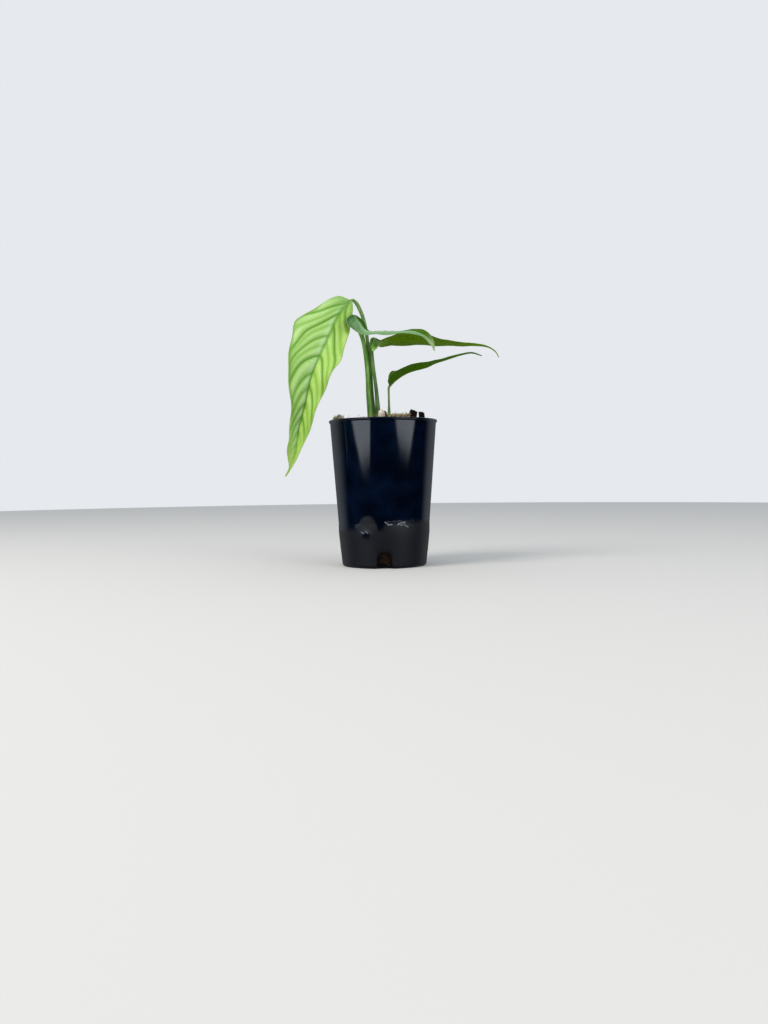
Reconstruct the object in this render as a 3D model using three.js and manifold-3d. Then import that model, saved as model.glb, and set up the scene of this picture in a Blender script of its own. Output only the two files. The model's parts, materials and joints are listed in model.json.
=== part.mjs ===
// A young Monstera obliqua with four leaves, growing in a nursery tube pot of bark mix.
// Millimetres, +Z up. The origin is the centre of the pot's flat base, and the plant faces -Y.
import * as THREE from 'three';
import { mergeVertices } from 'three/addons/utils/BufferGeometryUtils.js';
import Module from 'manifold-3d';

const wasm = await Module();
wasm.setup();

// Clear space between two pieces that touch on the real plant
const gap = 0.35;

// Pot: a tapered tube with a thin rolled lip, a proud band low on its wall and four drain arches
const pot = {
  height: 107,
  lipRadius: 40,
  lipHeight: 1.8,
  lipEdge: 0.4,
  throatRadius: 39.2,
  bandRadius: 33.7,
  bandLow: 24,
  bandHigh: 30.5,
  footRadius: 31.6,
  footRounding: 2.2,
  wall: 1.1,
  floor: 1.8,
  facets: 60,
};
const lipLow = pot.height - pot.lipHeight;
const drain = { count: 4, width: 11.4, height: 12, reach: 26 };

// Bark mix: its surface, the slow rise of it around the plant, and the bits that stand out of it
const mix = {
  level: 104.2,
  mound: 2.4,
  moundCentre: [6, -8],
  moundReach: 22,
  ripple: 0.7,
  slack: 0.12,
  facets: 40,
  rings: 6,
};
const bits = {
  seed: 11,
  barkCount: 24,
  perliteCount: 7,
  length: [4, 9],
  thickness: [1.6, 3.2],
  tilt: [-28, 28],
  turnStep: 137.5,
};
const placedBits = [
  { kind: 'perlite', at: [-0.9, -26, 109.3], size: [4.6, 4.4, 7.4], turn: [8, 0, 20] },
  { kind: 'bark', at: [2.1, -25.5, 108.2], size: [2.6, 3, 8], turn: [0, -14, 10] },
  { kind: 'bark', at: [20.9, -19, 107.8], size: [6, 5, 8.6], turn: [0, 14, 18] },
  { kind: 'bark', at: [28.2, -15.5, 107.6], size: [3.4, 4, 8], turn: [4, -6, -20] },
  { kind: 'bark', at: [-32.6, -10, 106.8], size: [7, 5, 4.4], turn: [4, 6, 24] },
  { kind: 'bark', at: [9.6, -22, 107.3], size: [7, 4, 4.4], turn: [10, 4, -14] },
  { kind: 'bark', at: [15.6, -21.5, 107.6], size: [5.6, 4, 4.6], turn: [-8, -6, 22] },
  { kind: 'perlite', at: [-26, -18, 105.6], size: [4, 4, 4], turn: [0, 30, 40] },
];

// Creeping stem just under the surface, and the roots that run down from it
const rhizome = {
  path: [[-12.5, -1.6, 95.4], [-8, -1.5, 96.2], [-3, -1.4, 96.4], [2, -1.8, 96.4], [7.4, -2.6, 96]],
  radius: 3.3,
  facets: 12,
  steps: 8,
};
const roots = {
  count: 7,
  seed: 5,
  radius: 1.15,
  tipRadius: 0.6,
  depth: 80,
  spread: 21,
  facets: 6,
  steps: 7,
};

// Petioles, from the rhizome up to the blade; the radii run along the length from 0 to 1
const petioleFacets = 8;
const petioleStepsPerPoint = 2;
const petioleRadii = {
  hanging: [[0, 2], [0.16, 1.75], [0.42, 1.5], [0.8, 1.4], [0.95, 1.55], [1, 1.2]],
  long: [[0, 2.1], [0.2, 1.85], [0.52, 1.35], [0.84, 1.35], [0.94, 1.6], [1, 1.1]],
  curled: [[0, 2.1], [0.16, 1.8], [0.48, 1.55], [0.74, 1.5], [0.86, 1.75], [1, 1.1]],
  small: [[0, 1.7], [0.28, 1.6], [0.4, 1.15], [0.58, 0.8], [0.85, 0.75], [1, 0.85]],
};
const petiolePaths = {
  hanging: [
    [-5.4, 1.6, 100.5], [-7, 1.6, 114], [-8.1, 1.7, 126], [-8.7, 1.9, 138], [-9.3, 2, 149], [-10.5, 2, 161],
    [-11.8, 2, 173], [-13.7, 1.4, 182], [-16.4, 0, 189], [-19, -1.6, 193.4], [-21.6, -3, 195.1],
  ],
  long: [
    [-2.2, -2.3, 100.5], [-3.6, -1.8, 114], [-4.7, -1.9, 129], [-6.4, -2.5, 143.5], [-7.5, -3.2, 154],
    [-7.9, -3.6, 160.6], [-7.8, -3.7, 164], [-7.2, -3.8, 166.6],
  ],
  curled: [
    [-9.3, -3.1, 100.5], [-9.7, -3.4, 113], [-10.5, -3.3, 125], [-10.9, -3.2, 138], [-11.7, -3.2, 150],
    [-13, -3.2, 160.5], [-14.6, -3, 168.4], [-16.8, -3.2, 174], [-18.8, -4.6, 178.8], [-19.6, -7.2, 181.4],
  ],
  small: [
    [4.6, -2.8, 100.5], [4.6, -2.4, 111], [4.6, -2.6, 118], [4.5, -3.2, 124], [4.8, -4, 131.6],
  ],
};

// Leaves. Left and right are as seen along the leaf from base to tip with the upper face on top.
// Every pair holds a place along the midrib, from 0 at the base to 1 at the tip, and a value there:
// the half blade's width in mm, or its lift out of the facing plane in degrees. The sweep is how far
// forward the lateral veins run, and the lobe is how far the margin reaches back beside the petiole.
const leaves = {
  hanging: {
    midrib: [
      [-22.6, -3.6, 194.8], [-31, -9, 183.5], [-38.5, -15, 166], [-45, -20, 151], [-51, -23, 135],
      [-55, -25, 117.5], [-59.2, -26, 102], [-62, -26.5, 86], [-66.3, -26, 72], [-69.8, -25, 66.6],
    ],
    facing: [[-0.25, -1, 0.25], [-0.1, -1, 0.1]],
    right: {
      widths: [
        [0, 1.2], [0.02, 6.3], [0.08, 12.2], [0.14, 17.6], [0.2, 24.4], [0.25, 27.4], [0.33, 24], [0.42, 21],
        [0.5, 16.8], [0.6, 12.9], [0.7, 8.6], [0.8, 6.8], [0.86, 7.2], [0.91, 4.2], [0.95, 1.4], [1, 0.5],
      ],
      lift: [[0, 8], [0.3, 11], [0.6, 40], [1, 40]],
      sweep: 0.3,
      lobe: 5,
    },
    left: {
      widths: [
        [0, 1.2], [0.03, 3.5], [0.08, 6.9], [0.15, 10.1], [0.2, 12.1], [0.25, 12.9], [0.32, 15.2],
        [0.4, 20.4], [0.5, 18.3], [0.6, 13.3], [0.7, 11.1], [0.8, 7.5], [0.9, 2.9], [0.95, 1], [1, 0.5],
      ],
      lift: [[0, 6], [0.08, -16], [0.2, -20], [0.28, -6], [0.37, 20], [0.45, 30], [0.7, 26], [1, 24]],
      sweep: 0.42,
      lobe: 5,
    },
    laterals: [0.02, 0.11, 0.24, 0.36, 0.46, 0.54, 0.62, 0.69, 0.76, 0.83, 0.9],
    quilting: 1.1,
    arch: 0.06,
    wave: { height: 1, count: 5 },
    ribDepth: 1,
  },
  long: {
    midrib: [
      [-5.4, -4, 167.2], [-3, -3.8, 166.1], [2.9, -2.8, 165], [13.2, -1.2, 166],
      [24.3, -0.2, 166.1], [35.4, 0, 165.4], [46.4, -1, 163.8], [57.3, -2.5, 162.4], [68.1, -4.5, 161],
      [76, -6, 159.9], [80.6, -7, 157.7], [83.3, -7.5, 155.1], [85, -8, 151.7],
    ],
    facing: [[0, 0.2, 1], [0.1, 0.2, 1]],
    right: {
      widths: [
        [0, 1.2], [0.015, 8.8], [0.03, 13], [0.055, 13.6], [0.09, 6.9], [0.13, 7.7], [0.2, 12],
        [0.35, 11.4], [0.5, 10.2], [0.62, 7], [0.74, 4.1], [0.84, 2.2], [0.9, 1.4], [1, 0.5],
      ],
      lift: [
        [0, -28], [0.03, -69], [0.07, -34], [0.12, -1], [0.18, 7], [0.3, 8], [0.42, 6], [0.55, -12],
        [0.7, 0], [1, -3],
      ],
      sweep: 0.2,
      lobe: 4.3,
    },
    left: {
      widths: [
        [0, 1], [0.04, 11.6], [0.1, 9.1], [0.2, 11.6], [0.35, 11], [0.5, 9.9], [0.62, 7.1], [0.74, 4.1],
        [0.84, 2], [0.9, 1.5], [1, 0.5],
      ],
      lift: [
        [0, 11], [0.04, 6], [0.08, -10], [0.16, 4], [0.3, -4], [0.42, 6], [0.55, 0], [0.7, 10], [1, 0],
      ],
      sweep: 0.2,
      lobe: 0.2,
    },
    laterals: [0.03, 0.11, 0.19, 0.27, 0.35, 0.43, 0.51, 0.59, 0.67, 0.75, 0.82],
    quilting: 0.7,
    arch: 0.05,
    wave: { height: 0.8, count: 4 },
    ribDepth: 0.9,
  },
  curled: {
    midrib: [
      [-19.8, -10.3, 182.8], [-16.3, -11.3, 177.1], [-11.5, -12.5, 171.2], [-1.4, -15.5, 170],
      [12.9, -18.5, 169.3], [22.1, -20.5, 168.7], [27.8, -21.5, 166.6], [32.4, -22, 163.7],
      [35.9, -22.5, 159.7], [37.3, -22.5, 154.4],
    ],
    facing: [[0.35, -0.2, 1], [0, 0, 1]],
    right: {
      widths: [
        [0, 1], [0.03, 3.1], [0.1, 11.8], [0.2, 6.6], [0.35, 6.4], [0.6, 6.3], [0.8, 5.4], [0.92, 3.2],
        [1, 0.5],
      ],
      lift: [
        [0, -17], [0.06, -23], [0.12, -28], [0.2, -31], [0.35, -27], [0.5, -25], [0.65, -20], [0.8, -22],
        [0.92, -34], [1, -40],
      ],
      sweep: 0.16,
      lobe: 4,
    },
    left: {
      widths: [
        [0, 1], [0.03, 2], [0.1, 5.3], [0.25, 7.2], [0.45, 7.2], [0.7, 7.6], [0.85, 4.3], [0.94, 2],
        [1, 0.5],
      ],
      lift: [
        [0, 10], [0.06, 12], [0.12, 18], [0.25, 0], [0.4, 3], [0.55, 1], [0.68, 23], [0.85, 44], [1, 24],
      ],
      sweep: 0.16,
      lobe: 2.8,
    },
    laterals: [0.04, 0.13, 0.22, 0.31, 0.4, 0.49, 0.58, 0.67, 0.76, 0.85],
    quilting: 0.5,
    arch: 0.05,
    wave: { height: 0.5, count: 4 },
    ribDepth: 0.8,
  },
  small: {
    midrib: [
      [5.1, -4.2, 132.3], [6.6, -4.2, 134], [9.2, -4.5, 136.2], [12.9, -5, 138.6], [17.3, -5.4, 141],
      [22.4, -6, 142.8], [32.6, -7.5, 145.2], [38.4, -8, 147.8], [45.7, -9, 149.9], [57.9, -11, 153.3],
      [65, -12, 154.2], [72, -13, 152],
    ],
    facing: [[-0.3, 0, 1], [0, 0, 1]],
    right: {
      widths: [
        [0, 0.8], [0.02, 4.3], [0.05, 7], [0.09, 8.5], [0.14, 9.8], [0.2, 9.1], [0.3, 9], [0.45, 7.6],
        [0.58, 5], [0.75, 2], [0.9, 1.3], [1, 0.5],
      ],
      lift: [[0, 4], [0.06, 16], [0.14, 23], [0.3, 26], [0.5, 14], [0.75, 20], [1, 30]],
      sweep: 0.16,
      lobe: 2.5,
    },
    left: {
      widths: [
        [0, 0.8], [0.02, 4.3], [0.05, 6.9], [0.09, 10.4], [0.13, 11.2], [0.18, 9.2], [0.3, 9], [0.45, 7.4],
        [0.58, 5.1], [0.75, 2], [0.9, 1.4], [1, 0.5],
      ],
      lift: [
        [0, 0], [0.05, 21], [0.08, 36], [0.12, 43], [0.16, 36], [0.2, 30], [0.3, 33], [0.5, 23], [0.75, 30],
        [1, 38],
      ],
      sweep: 0.16,
      lobe: 2.5,
    },
    laterals: [0.03, 0.11, 0.19, 0.27, 0.35, 0.43, 0.51, 0.6, 0.7, 0.8],
    quilting: 0.5,
    arch: 0.06,
    wave: { height: 0.5, count: 3 },
    ribDepth: 0.6,
  },
};
const blade = {
  thickness: 0.7,
  columns: [0, 0.12, 0.4, 0.7, 1],
  ribReach: 0.1,
  ribTaper: 0.8,
  rowStep: 0.07,
  baseRows: 4,
  fanReach: 0.08,
  lobePlace: 0.03,
  stiffWidth: 8,
};

// Colours
const looks = {
  pot: { color: '#0a0f1c', roughness: 0.22 },
  mix: { color: '#4a3427', roughness: 0.95 },
  rhizome: { color: '#8a7a52', roughness: 0.7 },
  petiole: { color: '#4c7a2c', roughness: 0.45 },
  paleBlade: { color: '#9ccf62', roughness: 0.45 },
  darkBlade: { color: '#3f6a1c', roughness: 0.4 },
};

const radians = THREE.MathUtils.degToRad;

// Numbers that follow a seed
function seeded(seed) {
  let state = seed;
  return () => {
    state = (state + 0x6d2b79f5) | 0;
    let t = Math.imul(state ^ (state >>> 15), 1 | state);
    t = (t + Math.imul(t ^ (t >>> 7), 61 | t)) ^ t;
    return ((t ^ (t >>> 14)) >>> 0) / 4294967296;
  };
}

// Smooth value at a place between the pairs of a list
function smoothAt(pairs, place) {
  const last = pairs.length - 1;
  if (place <= pairs[0][0]) return pairs[0][1];
  if (place >= pairs[last][0]) return pairs[last][1];
  const i = pairs.findIndex((pair) => place <= pair[0]) - 1;
  const slope = (k) => {
    const before = pairs[Math.max(k - 1, 0)];
    const after = pairs[Math.min(k + 1, last)];
    return (after[1] - before[1]) / (after[0] - before[0]);
  };
  const span = pairs[i + 1][0] - pairs[i][0];
  const t = (place - pairs[i][0]) / span;
  return (
    (2 * t ** 3 - 3 * t ** 2 + 1) * pairs[i][1] + (t ** 3 - 2 * t ** 2 + t) * span * slope(i) +
    (3 * t ** 2 - 2 * t ** 3) * pairs[i + 1][1] + (t ** 3 - t ** 2) * span * slope(i + 1)
  );
}

const pathThrough = (points) => new THREE.CatmullRomCurve3(points.map((p) => new THREE.Vector3(...p)));

// Closed geometry from vertices and triangles
function closedGeometry(vertices, triangles) {
  const geometry = new THREE.BufferGeometry();
  const numbers = vertices.flatMap((v) => [v.x, v.y, v.z]);
  geometry.setAttribute('position', new THREE.Float32BufferAttribute(numbers, 3));
  geometry.setIndex(triangles.flat());
  geometry.computeVertexNormals();
  return geometry;
}

// Closed body through rings of equally many points, with a fan over each end.
// Seen from the start of the body towards its end, each ring runs clockwise.
function loft(rings) {
  const size = rings[0].length;
  const vertices = rings.flat();
  const triangles = [];
  for (let i = 0; i + 1 < rings.length; i += 1) {
    for (let j = 0; j < size; j += 1) {
      const a = i * size + j;
      const b = i * size + ((j + 1) % size);
      triangles.push([a, a + size, b], [b, a + size, b + size]);
    }
  }
  const ends = [[0, 1], [(rings.length - 1) * size, -1]];
  for (const [start, way] of ends) {
    const centre = vertices.slice(start, start + size).reduce((sum, v) => sum.add(v), new THREE.Vector3());
    const middle = vertices.push(centre.divideScalar(size)) - 1;
    for (let j = 0; j < size; j += 1) {
      const pair = [start + j, start + ((j + 1) % size)];
      triangles.push(way > 0 ? [middle, pair[0], pair[1]] : [middle, pair[1], pair[0]]);
    }
  }
  return closedGeometry(vertices, triangles);
}

// Round tube along a path whose radius follows a list of pairs, with frames that don't twist
function taperedTube(points, radii, facets, steps, extra = 0) {
  const path = pathThrough(points);
  const rings = [];
  let across = new THREE.Vector3(0, 1, 0);
  for (let i = 0; i <= steps; i += 1) {
    const along = i / steps;
    const centre = path.getPointAt(along);
    const forward = path.getTangentAt(along);
    across = across.clone().addScaledVector(forward, -across.dot(forward)).normalize();
    const up = new THREE.Vector3().crossVectors(forward, across);
    const radius = smoothAt(radii, along) + extra;
    rings.push(
      Array.from({ length: facets }, (_, j) => {
        const angle = (-2 * Math.PI * j) / facets;
        return centre
          .clone()
          .addScaledVector(across, radius * Math.cos(angle))
          .addScaledVector(up, radius * Math.sin(angle));
      }),
    );
  }
  return loft(rings);
}

// Solids that can be joined and cut
function asSolid(geometry) {
  const bare = geometry.clone();
  bare.deleteAttribute('normal');
  bare.deleteAttribute('uv');
  const merged = mergeVertices(bare, 1e-4);
  return new wasm.Manifold(
    new wasm.Mesh({
      numProp: 3,
      vertProperties: new Float32Array(merged.attributes.position.array),
      triVerts: new Uint32Array(merged.index.array),
    }),
  );
}

function asGeometry(solid) {
  const { vertProperties, triVerts } = solid.getMesh();
  const geometry = new THREE.BufferGeometry();
  geometry.setAttribute('position', new THREE.Float32BufferAttribute(vertProperties, 3));
  geometry.setIndex(new THREE.Uint32BufferAttribute(triVerts, 1));
  geometry.computeVertexNormals();
  return geometry;
}

// The largest body of a solid, without loose scraps
function mainBody(solid) {
  return solid.decompose().reduce((best, body) => (body.volume() > best.volume() ? body : best));
}

// Pot wall, as pairs of a radius and a height
function outerWall() {
  const { footRounding: round, footRadius } = pot;
  const corner = [0, 30, 60, 90].map((angle) => {
    const turn = radians(angle);
    return [footRadius - round + round * Math.sin(turn), round - round * Math.cos(turn)];
  });
  const band = [[pot.bandRadius - 0.1, pot.bandLow], [pot.bandRadius, pot.bandHigh]];
  return [...corner, ...band, [pot.throatRadius, lipLow]];
}

// Radius of the pot's inner wall at a height
function innerRadius(z) {
  const wall = outerWall().filter(([, height]) => height >= pot.footRounding);
  const i = z > lipLow ? wall.length - 1 : Math.max(wall.findIndex(([, height]) => z <= height), 1);
  const [low, high] = [wall[i - 1], wall[i]];
  return low[0] + ((high[0] - low[0]) * (z - low[1])) / (high[1] - low[1]) - pot.wall;
}

// Radius of the room for the mix at a height
const roomRadius = (z) => innerRadius(z) - gap;

function potGeometry() {
  const { lipRadius, lipEdge, height, floor } = pot;
  const footTop = floor + pot.footRounding;
  const outline = [
    [0, 0],
    ...outerWall(),
    [lipRadius, lipLow + lipEdge],
    [lipRadius, height - lipEdge],
    [lipRadius - lipEdge, height],
    [innerRadius(height) + lipEdge, height],
    [innerRadius(height), height - lipEdge],
    [innerRadius(lipLow), lipLow],
    [innerRadius(pot.bandHigh), pot.bandHigh],
    [innerRadius(pot.bandLow), pot.bandLow],
    [innerRadius(footTop), footTop],
    [innerRadius(footTop) - pot.footRounding / 2, floor],
    [0, floor],
  ];
  const shell = new THREE.LatheGeometry(outline.map(([r, z]) => new THREE.Vector2(r, z)), pot.facets);
  shell.rotateX(Math.PI / 2);
  return asGeometry(drainCuts().reduce((solid, cut) => solid.subtract(cut), asSolid(shell)));
}

// Arched openings at the foot of the wall, which run a little way in under the floor's edge
function drainCuts() {
  const half = drain.width / 2;
  const spring = drain.height - half * 0.8;
  const arch = new THREE.Shape();
  arch.moveTo(-half, -1);
  arch.lineTo(half, -1);
  arch.lineTo(half * 0.94, spring);
  arch.quadraticCurveTo(half * 0.86, drain.height, 0, drain.height);
  arch.quadraticCurveTo(-half * 0.86, drain.height, -half * 0.94, spring);
  arch.closePath();
  const depth = pot.lipRadius - drain.reach;
  return Array.from({ length: drain.count }, (_, k) => {
    const cut = new THREE.ExtrudeGeometry(arch, { depth, bevelEnabled: false, curveSegments: 5 });
    cut.rotateX(Math.PI / 2);
    cut.translate(0, -drain.reach, 0);
    cut.rotateZ((2 * Math.PI * k) / drain.count);
    return asSolid(cut);
  });
}

// Height of the mix's surface at a place
function mixHeight(x, y) {
  const [cx, cy] = mix.moundCentre;
  const away = Math.hypot(x - cx, y - cy) / mix.moundReach;
  const ripple = Math.sin(x * 0.55 + 1) * Math.cos(y * 0.48) + 0.6 * Math.sin(x * 1.1 - y * 0.9);
  return mix.level + mix.mound * Math.exp(-away * away) + mix.ripple * ripple;
}

// The mix without its bits, a little clear of the room that the bits are cut to
function mixPlug() {
  const footTop = pot.floor + pot.footRounding;
  const base = pot.floor + gap;
  const levels = [footTop + gap, pot.bandLow, pot.bandHigh, mix.level - 3];
  const radiusAt = (z) => roomRadius(z) - mix.slack;
  const ring = (radius, height) =>
    Array.from({ length: mix.facets }, (_, j) => {
      const angle = (-2 * Math.PI * j) / mix.facets;
      const [x, y] = [radius * Math.cos(angle), radius * Math.sin(angle)];
      return new THREE.Vector3(x, y, height ?? mixHeight(x, y));
    });
  const rings = [ring(radiusAt(footTop) / 2, base), ring(radiusAt(footTop) - pot.footRounding, base)];
  rings.push(...levels.map((z) => ring(radiusAt(z), z)));
  const rim = radiusAt(mix.level);
  for (let k = mix.rings; k > 0; k -= 1) rings.push(ring((rim * k) / mix.rings));
  return asSolid(loft(rings));
}

// A bark chip or a perlite nugget: a box or a ball with its corners moved a little
function bitSolid({ kind, size, at, turn }, random) {
  const isBark = kind === 'bark';
  const form = isBark ? new THREE.BoxGeometry(1, 1, 1) : new THREE.DodecahedronGeometry(0.55);
  form.deleteAttribute('normal');
  form.deleteAttribute('uv');
  const lump = mergeVertices(form, 1e-4);
  const corners = lump.attributes.position;
  const loose = isBark ? 0.34 : 0.14;
  for (let i = 0; i < corners.count; i += 1) {
    const moved = ['getX', 'getY', 'getZ'].map((get) => corners[get](i) + (random() - 0.5) * loose);
    corners.setXYZ(i, ...moved);
  }
  lump.scale(...size);
  lump.applyMatrix4(new THREE.Matrix4().makeRotationFromEuler(new THREE.Euler(...turn.map(radians))));
  lump.translate(...at);
  return asSolid(lump);
}

// Every bit, the placed ones and those spread in a spiral over the surface, cut to the pot's inside
function bitSolids() {
  const random = seeded(bits.seed);
  const between = ([low, high]) => low + (high - low) * random();
  const total = bits.barkCount + bits.perliteCount;
  const reach = innerRadius(mix.level) - bits.length[1] * 0.75;
  const solids = placedBits.map((bit) => bitSolid(bit, random));
  for (let i = 0; i < total; i += 1) {
    const kind = i < bits.barkCount ? 'bark' : 'perlite';
    const radius = reach * Math.sqrt((i + 0.7) / total);
    const angle = radians(i * bits.turnStep + between([0, 24]));
    const [x, y] = [radius * Math.cos(angle), radius * Math.sin(angle)];
    const long = between(bits.length);
    const thick = between(bits.thickness);
    const size = kind === 'bark' ? [long, long * 0.6, thick] : [thick * 1.5, thick * 1.3, thick * 1.3];
    const turn = [between(bits.tilt), between(bits.tilt), between([0, 180])];
    solids.push(bitSolid({ kind, size, at: [x, y, mixHeight(x, y) + thick * 0.15], turn }, random));
  }
  const [low, high] = [mix.level - 14, pot.height + 14];
  const room = new THREE.CylinderGeometry(roomRadius(lipLow), roomRadius(low), high - low, pot.facets);
  room.rotateX(Math.PI / 2);
  room.translate(0, 0, (low + high) / 2);
  return solids.reduce((all, bit) => all.add(bit)).intersect(asSolid(room));
}

// Rhizome and roots; extra is the clear space around them for the hole that they stand in
function rhizomeSolid(extra = 0) {
  const random = seeded(roots.seed);
  const { radius, facets, steps } = rhizome;
  const radii = [[0, radius * 0.55], [0.12, radius], [0.85, radius], [1, radius * 0.6]];
  let solid = asSolid(taperedTube(rhizome.path, radii, facets, steps, extra));
  const rootRadii = [[0, roots.radius], [0.6, roots.radius * 0.85], [1, roots.tipRadius]];
  const line = pathThrough(rhizome.path);
  for (let k = 0; k < roots.count; k += 1) {
    const start = line.getPointAt(0.12 + (0.76 * k) / (roots.count - 1));
    const angle = (k * 2 * Math.PI) / roots.count + random() * 0.5;
    const depth = roots.depth * (0.6 + 0.4 * random());
    const points = [0, 0.12, 0.4, 0.7, 1].map((t) => {
      const away = roots.spread * Math.sin((t * Math.PI) / 2) * (0.7 + 0.3 * random());
      return [start.x + away * Math.cos(angle), start.y + away * Math.sin(angle), start.z - depth * t];
    });
    solid = solid.add(asSolid(taperedTube(points, rootRadii, roots.facets, roots.steps, extra)));
  }
  return solid;
}

// Petiole; extra is the clear space around it, and its hole runs down into the rhizome's
function petioleGeometry(name, extra = 0) {
  const [[x, y, z], ...rest] = petiolePaths[name];
  const points = [[x, y, z - extra * 4], ...rest];
  return taperedTube(points, petioleRadii[name], petioleFacets, points.length * petioleStepsPerPoint, extra);
}

function mixGeometry() {
  let solid = mixPlug().add(bitSolids()).subtract(rhizomeSolid(gap));
  for (const name of Object.keys(petiolePaths)) solid = solid.subtract(asSolid(petioleGeometry(name, gap)));
  return asGeometry(mainBody(solid));
}

// How far the lateral veins have fanned out, from none at the base to the full sweep
const fan = (u) => (1 - u) * (1 - Math.exp(-u / blade.fanReach));

// A point of the blade's middle sheet: u is where its lateral vein leaves the midrib, s runs from
// -1 at the left margin over 0 on the midrib to 1 at the right margin, and ridge is 1 between veins.
function sheetPoint(leaf, u, s, ridge) {
  const side = s < 0 ? leaf.left : leaf.right;
  const across = Math.abs(s);
  const along = Math.min(u + side.sweep * fan(u) * across ** 1.3, 1);
  const forward = leaf.path.getTangentAt(along);
  const face = new THREE.Vector3(...leaf.facing[0]).lerp(new THREE.Vector3(...leaf.facing[1]), along);
  face.addScaledVector(forward, -face.dot(forward)).normalize();
  const outward = new THREE.Vector3().crossVectors(forward, face).multiplyScalar(s < 0 ? -1 : 1);
  const lift = radians(smoothAt(side.lift, along));
  const width = smoothAt(side.widths, along);
  const soft = Math.min(1, width / blade.stiffWidth);
  const quilt = leaf.quilting * (ridge - 0.5) * Math.sin(Math.PI * across ** 0.8) * soft;
  const ripple = leaf.wave.height * across ** 3 * Math.sin(2 * Math.PI * leaf.wave.count * along) * soft;
  const height = quilt + leaf.arch * width * Math.sin(Math.PI * across) + ripple;
  const past = u / blade.lobePlace;
  const back = side.lobe * across ** 2 * past * Math.exp(1 - past);
  return leaf.path
    .getPointAt(along)
    .addScaledVector(outward, width * across * Math.cos(lift) - height * Math.sin(lift))
    .addScaledVector(face, width * across * Math.sin(lift) + height * Math.cos(lift))
    .addScaledVector(forward, -back);
}

// Rows of a blade: one on each lateral vein and some between, closer where the veins fan out
function bladeRows(leaf) {
  const veins = [0, ...leaf.laterals, 1];
  const sweep = Math.max(leaf.left.sweep, leaf.right.sweep);
  const marginPlace = (u) => u + sweep * fan(u);
  const rows = veins.slice(1).flatMap((end, k) => {
    const start = veins[k];
    const least = k === 0 ? blade.baseRows : 2;
    const count = Math.max(least, Math.ceil((marginPlace(end) - marginPlace(start)) / blade.rowStep));
    return Array.from({ length: count }, (_, i) => ({
      u: start + ((end - start) * i) / count,
      ridge: Math.sin((Math.PI * i) / count),
    }));
  });
  return [...rows, { u: 1, ridge: 0 }];
}

// Blade: the sheet thickened both ways, with a rib under its midrib and both faces split alike
function bladeGeometry(name) {
  const leaf = { ...leaves[name], path: pathThrough(leaves[name].midrib) };
  const rows = bladeRows(leaf);
  const columns = [...blade.columns.slice(1).reverse().map((s) => -s), ...blade.columns];
  const size = columns.length;
  const sheet = rows.flatMap(({ u, ridge }) => columns.map((s) => sheetPoint(leaf, u, s, ridge)));
  const total = sheet.length;
  const upper = [];
  for (let i = 0; i + 1 < rows.length; i += 1) {
    for (let j = 0; j + 1 < size; j += 1) {
      const a = i * size + j;
      upper.push([a, a + 1, a + size + 1], [a, a + size + 1, a + size]);
    }
  }
  const normals = closedGeometry(sheet, upper).attributes.normal;
  const moved = (k, distance) =>
    sheet[k].clone().addScaledVector(new THREE.Vector3().fromBufferAttribute(normals, k), distance);
  const vertices = sheet.map((_, k) => moved(k, blade.thickness / 2));
  sheet.forEach((_, k) => {
    const across = Math.abs(columns[k % size]);
    const along = rows[Math.floor(k / size)].u;
    const rib = leaf.ribDepth * (1 - along * blade.ribTaper) * Math.max(0, 1 - across / blade.ribReach);
    vertices.push(moved(k, -blade.thickness / 2 - rib));
  });
  const border = [];
  for (let j = 0; j + 1 < size; j += 1) {
    border.push([j + 1, j], [total - size + j, total - size + j + 1]);
  }
  for (let i = 0; i + 1 < rows.length; i += 1) {
    border.push([i * size, (i + 1) * size], [(i + 2) * size - 1, (i + 1) * size - 1]);
  }
  const triangles = [
    ...upper,
    ...upper.map(([a, b, c]) => [c + total, b + total, a + total]),
    ...border.flatMap(([a, b]) => [[a, b, b + total], [a, b + total, a + total]]),
  ];
  return closedGeometry(vertices, triangles);
}

// The plant in its pot
const plant = new THREE.Group();

function addPiece(name, geometry, look) {
  const piece = new THREE.Mesh(geometry, new THREE.MeshStandardMaterial({ ...looks[look], metalness: 0 }));
  piece.name = name;
  plant.add(piece);
}

addPiece('pot', potGeometry(), 'pot');
addPiece('potting_mix', mixGeometry(), 'mix');
addPiece('rhizome_roots', asGeometry(rhizomeSolid()), 'rhizome');
for (const name of Object.keys(leaves)) {
  addPiece(`petiole_${name}`, petioleGeometry(name), 'petiole');
  addPiece(`leaf_${name}`, bladeGeometry(name), name === 'hanging' ? 'paleBlade' : 'darkBlade');
}

export default plant;
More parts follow.
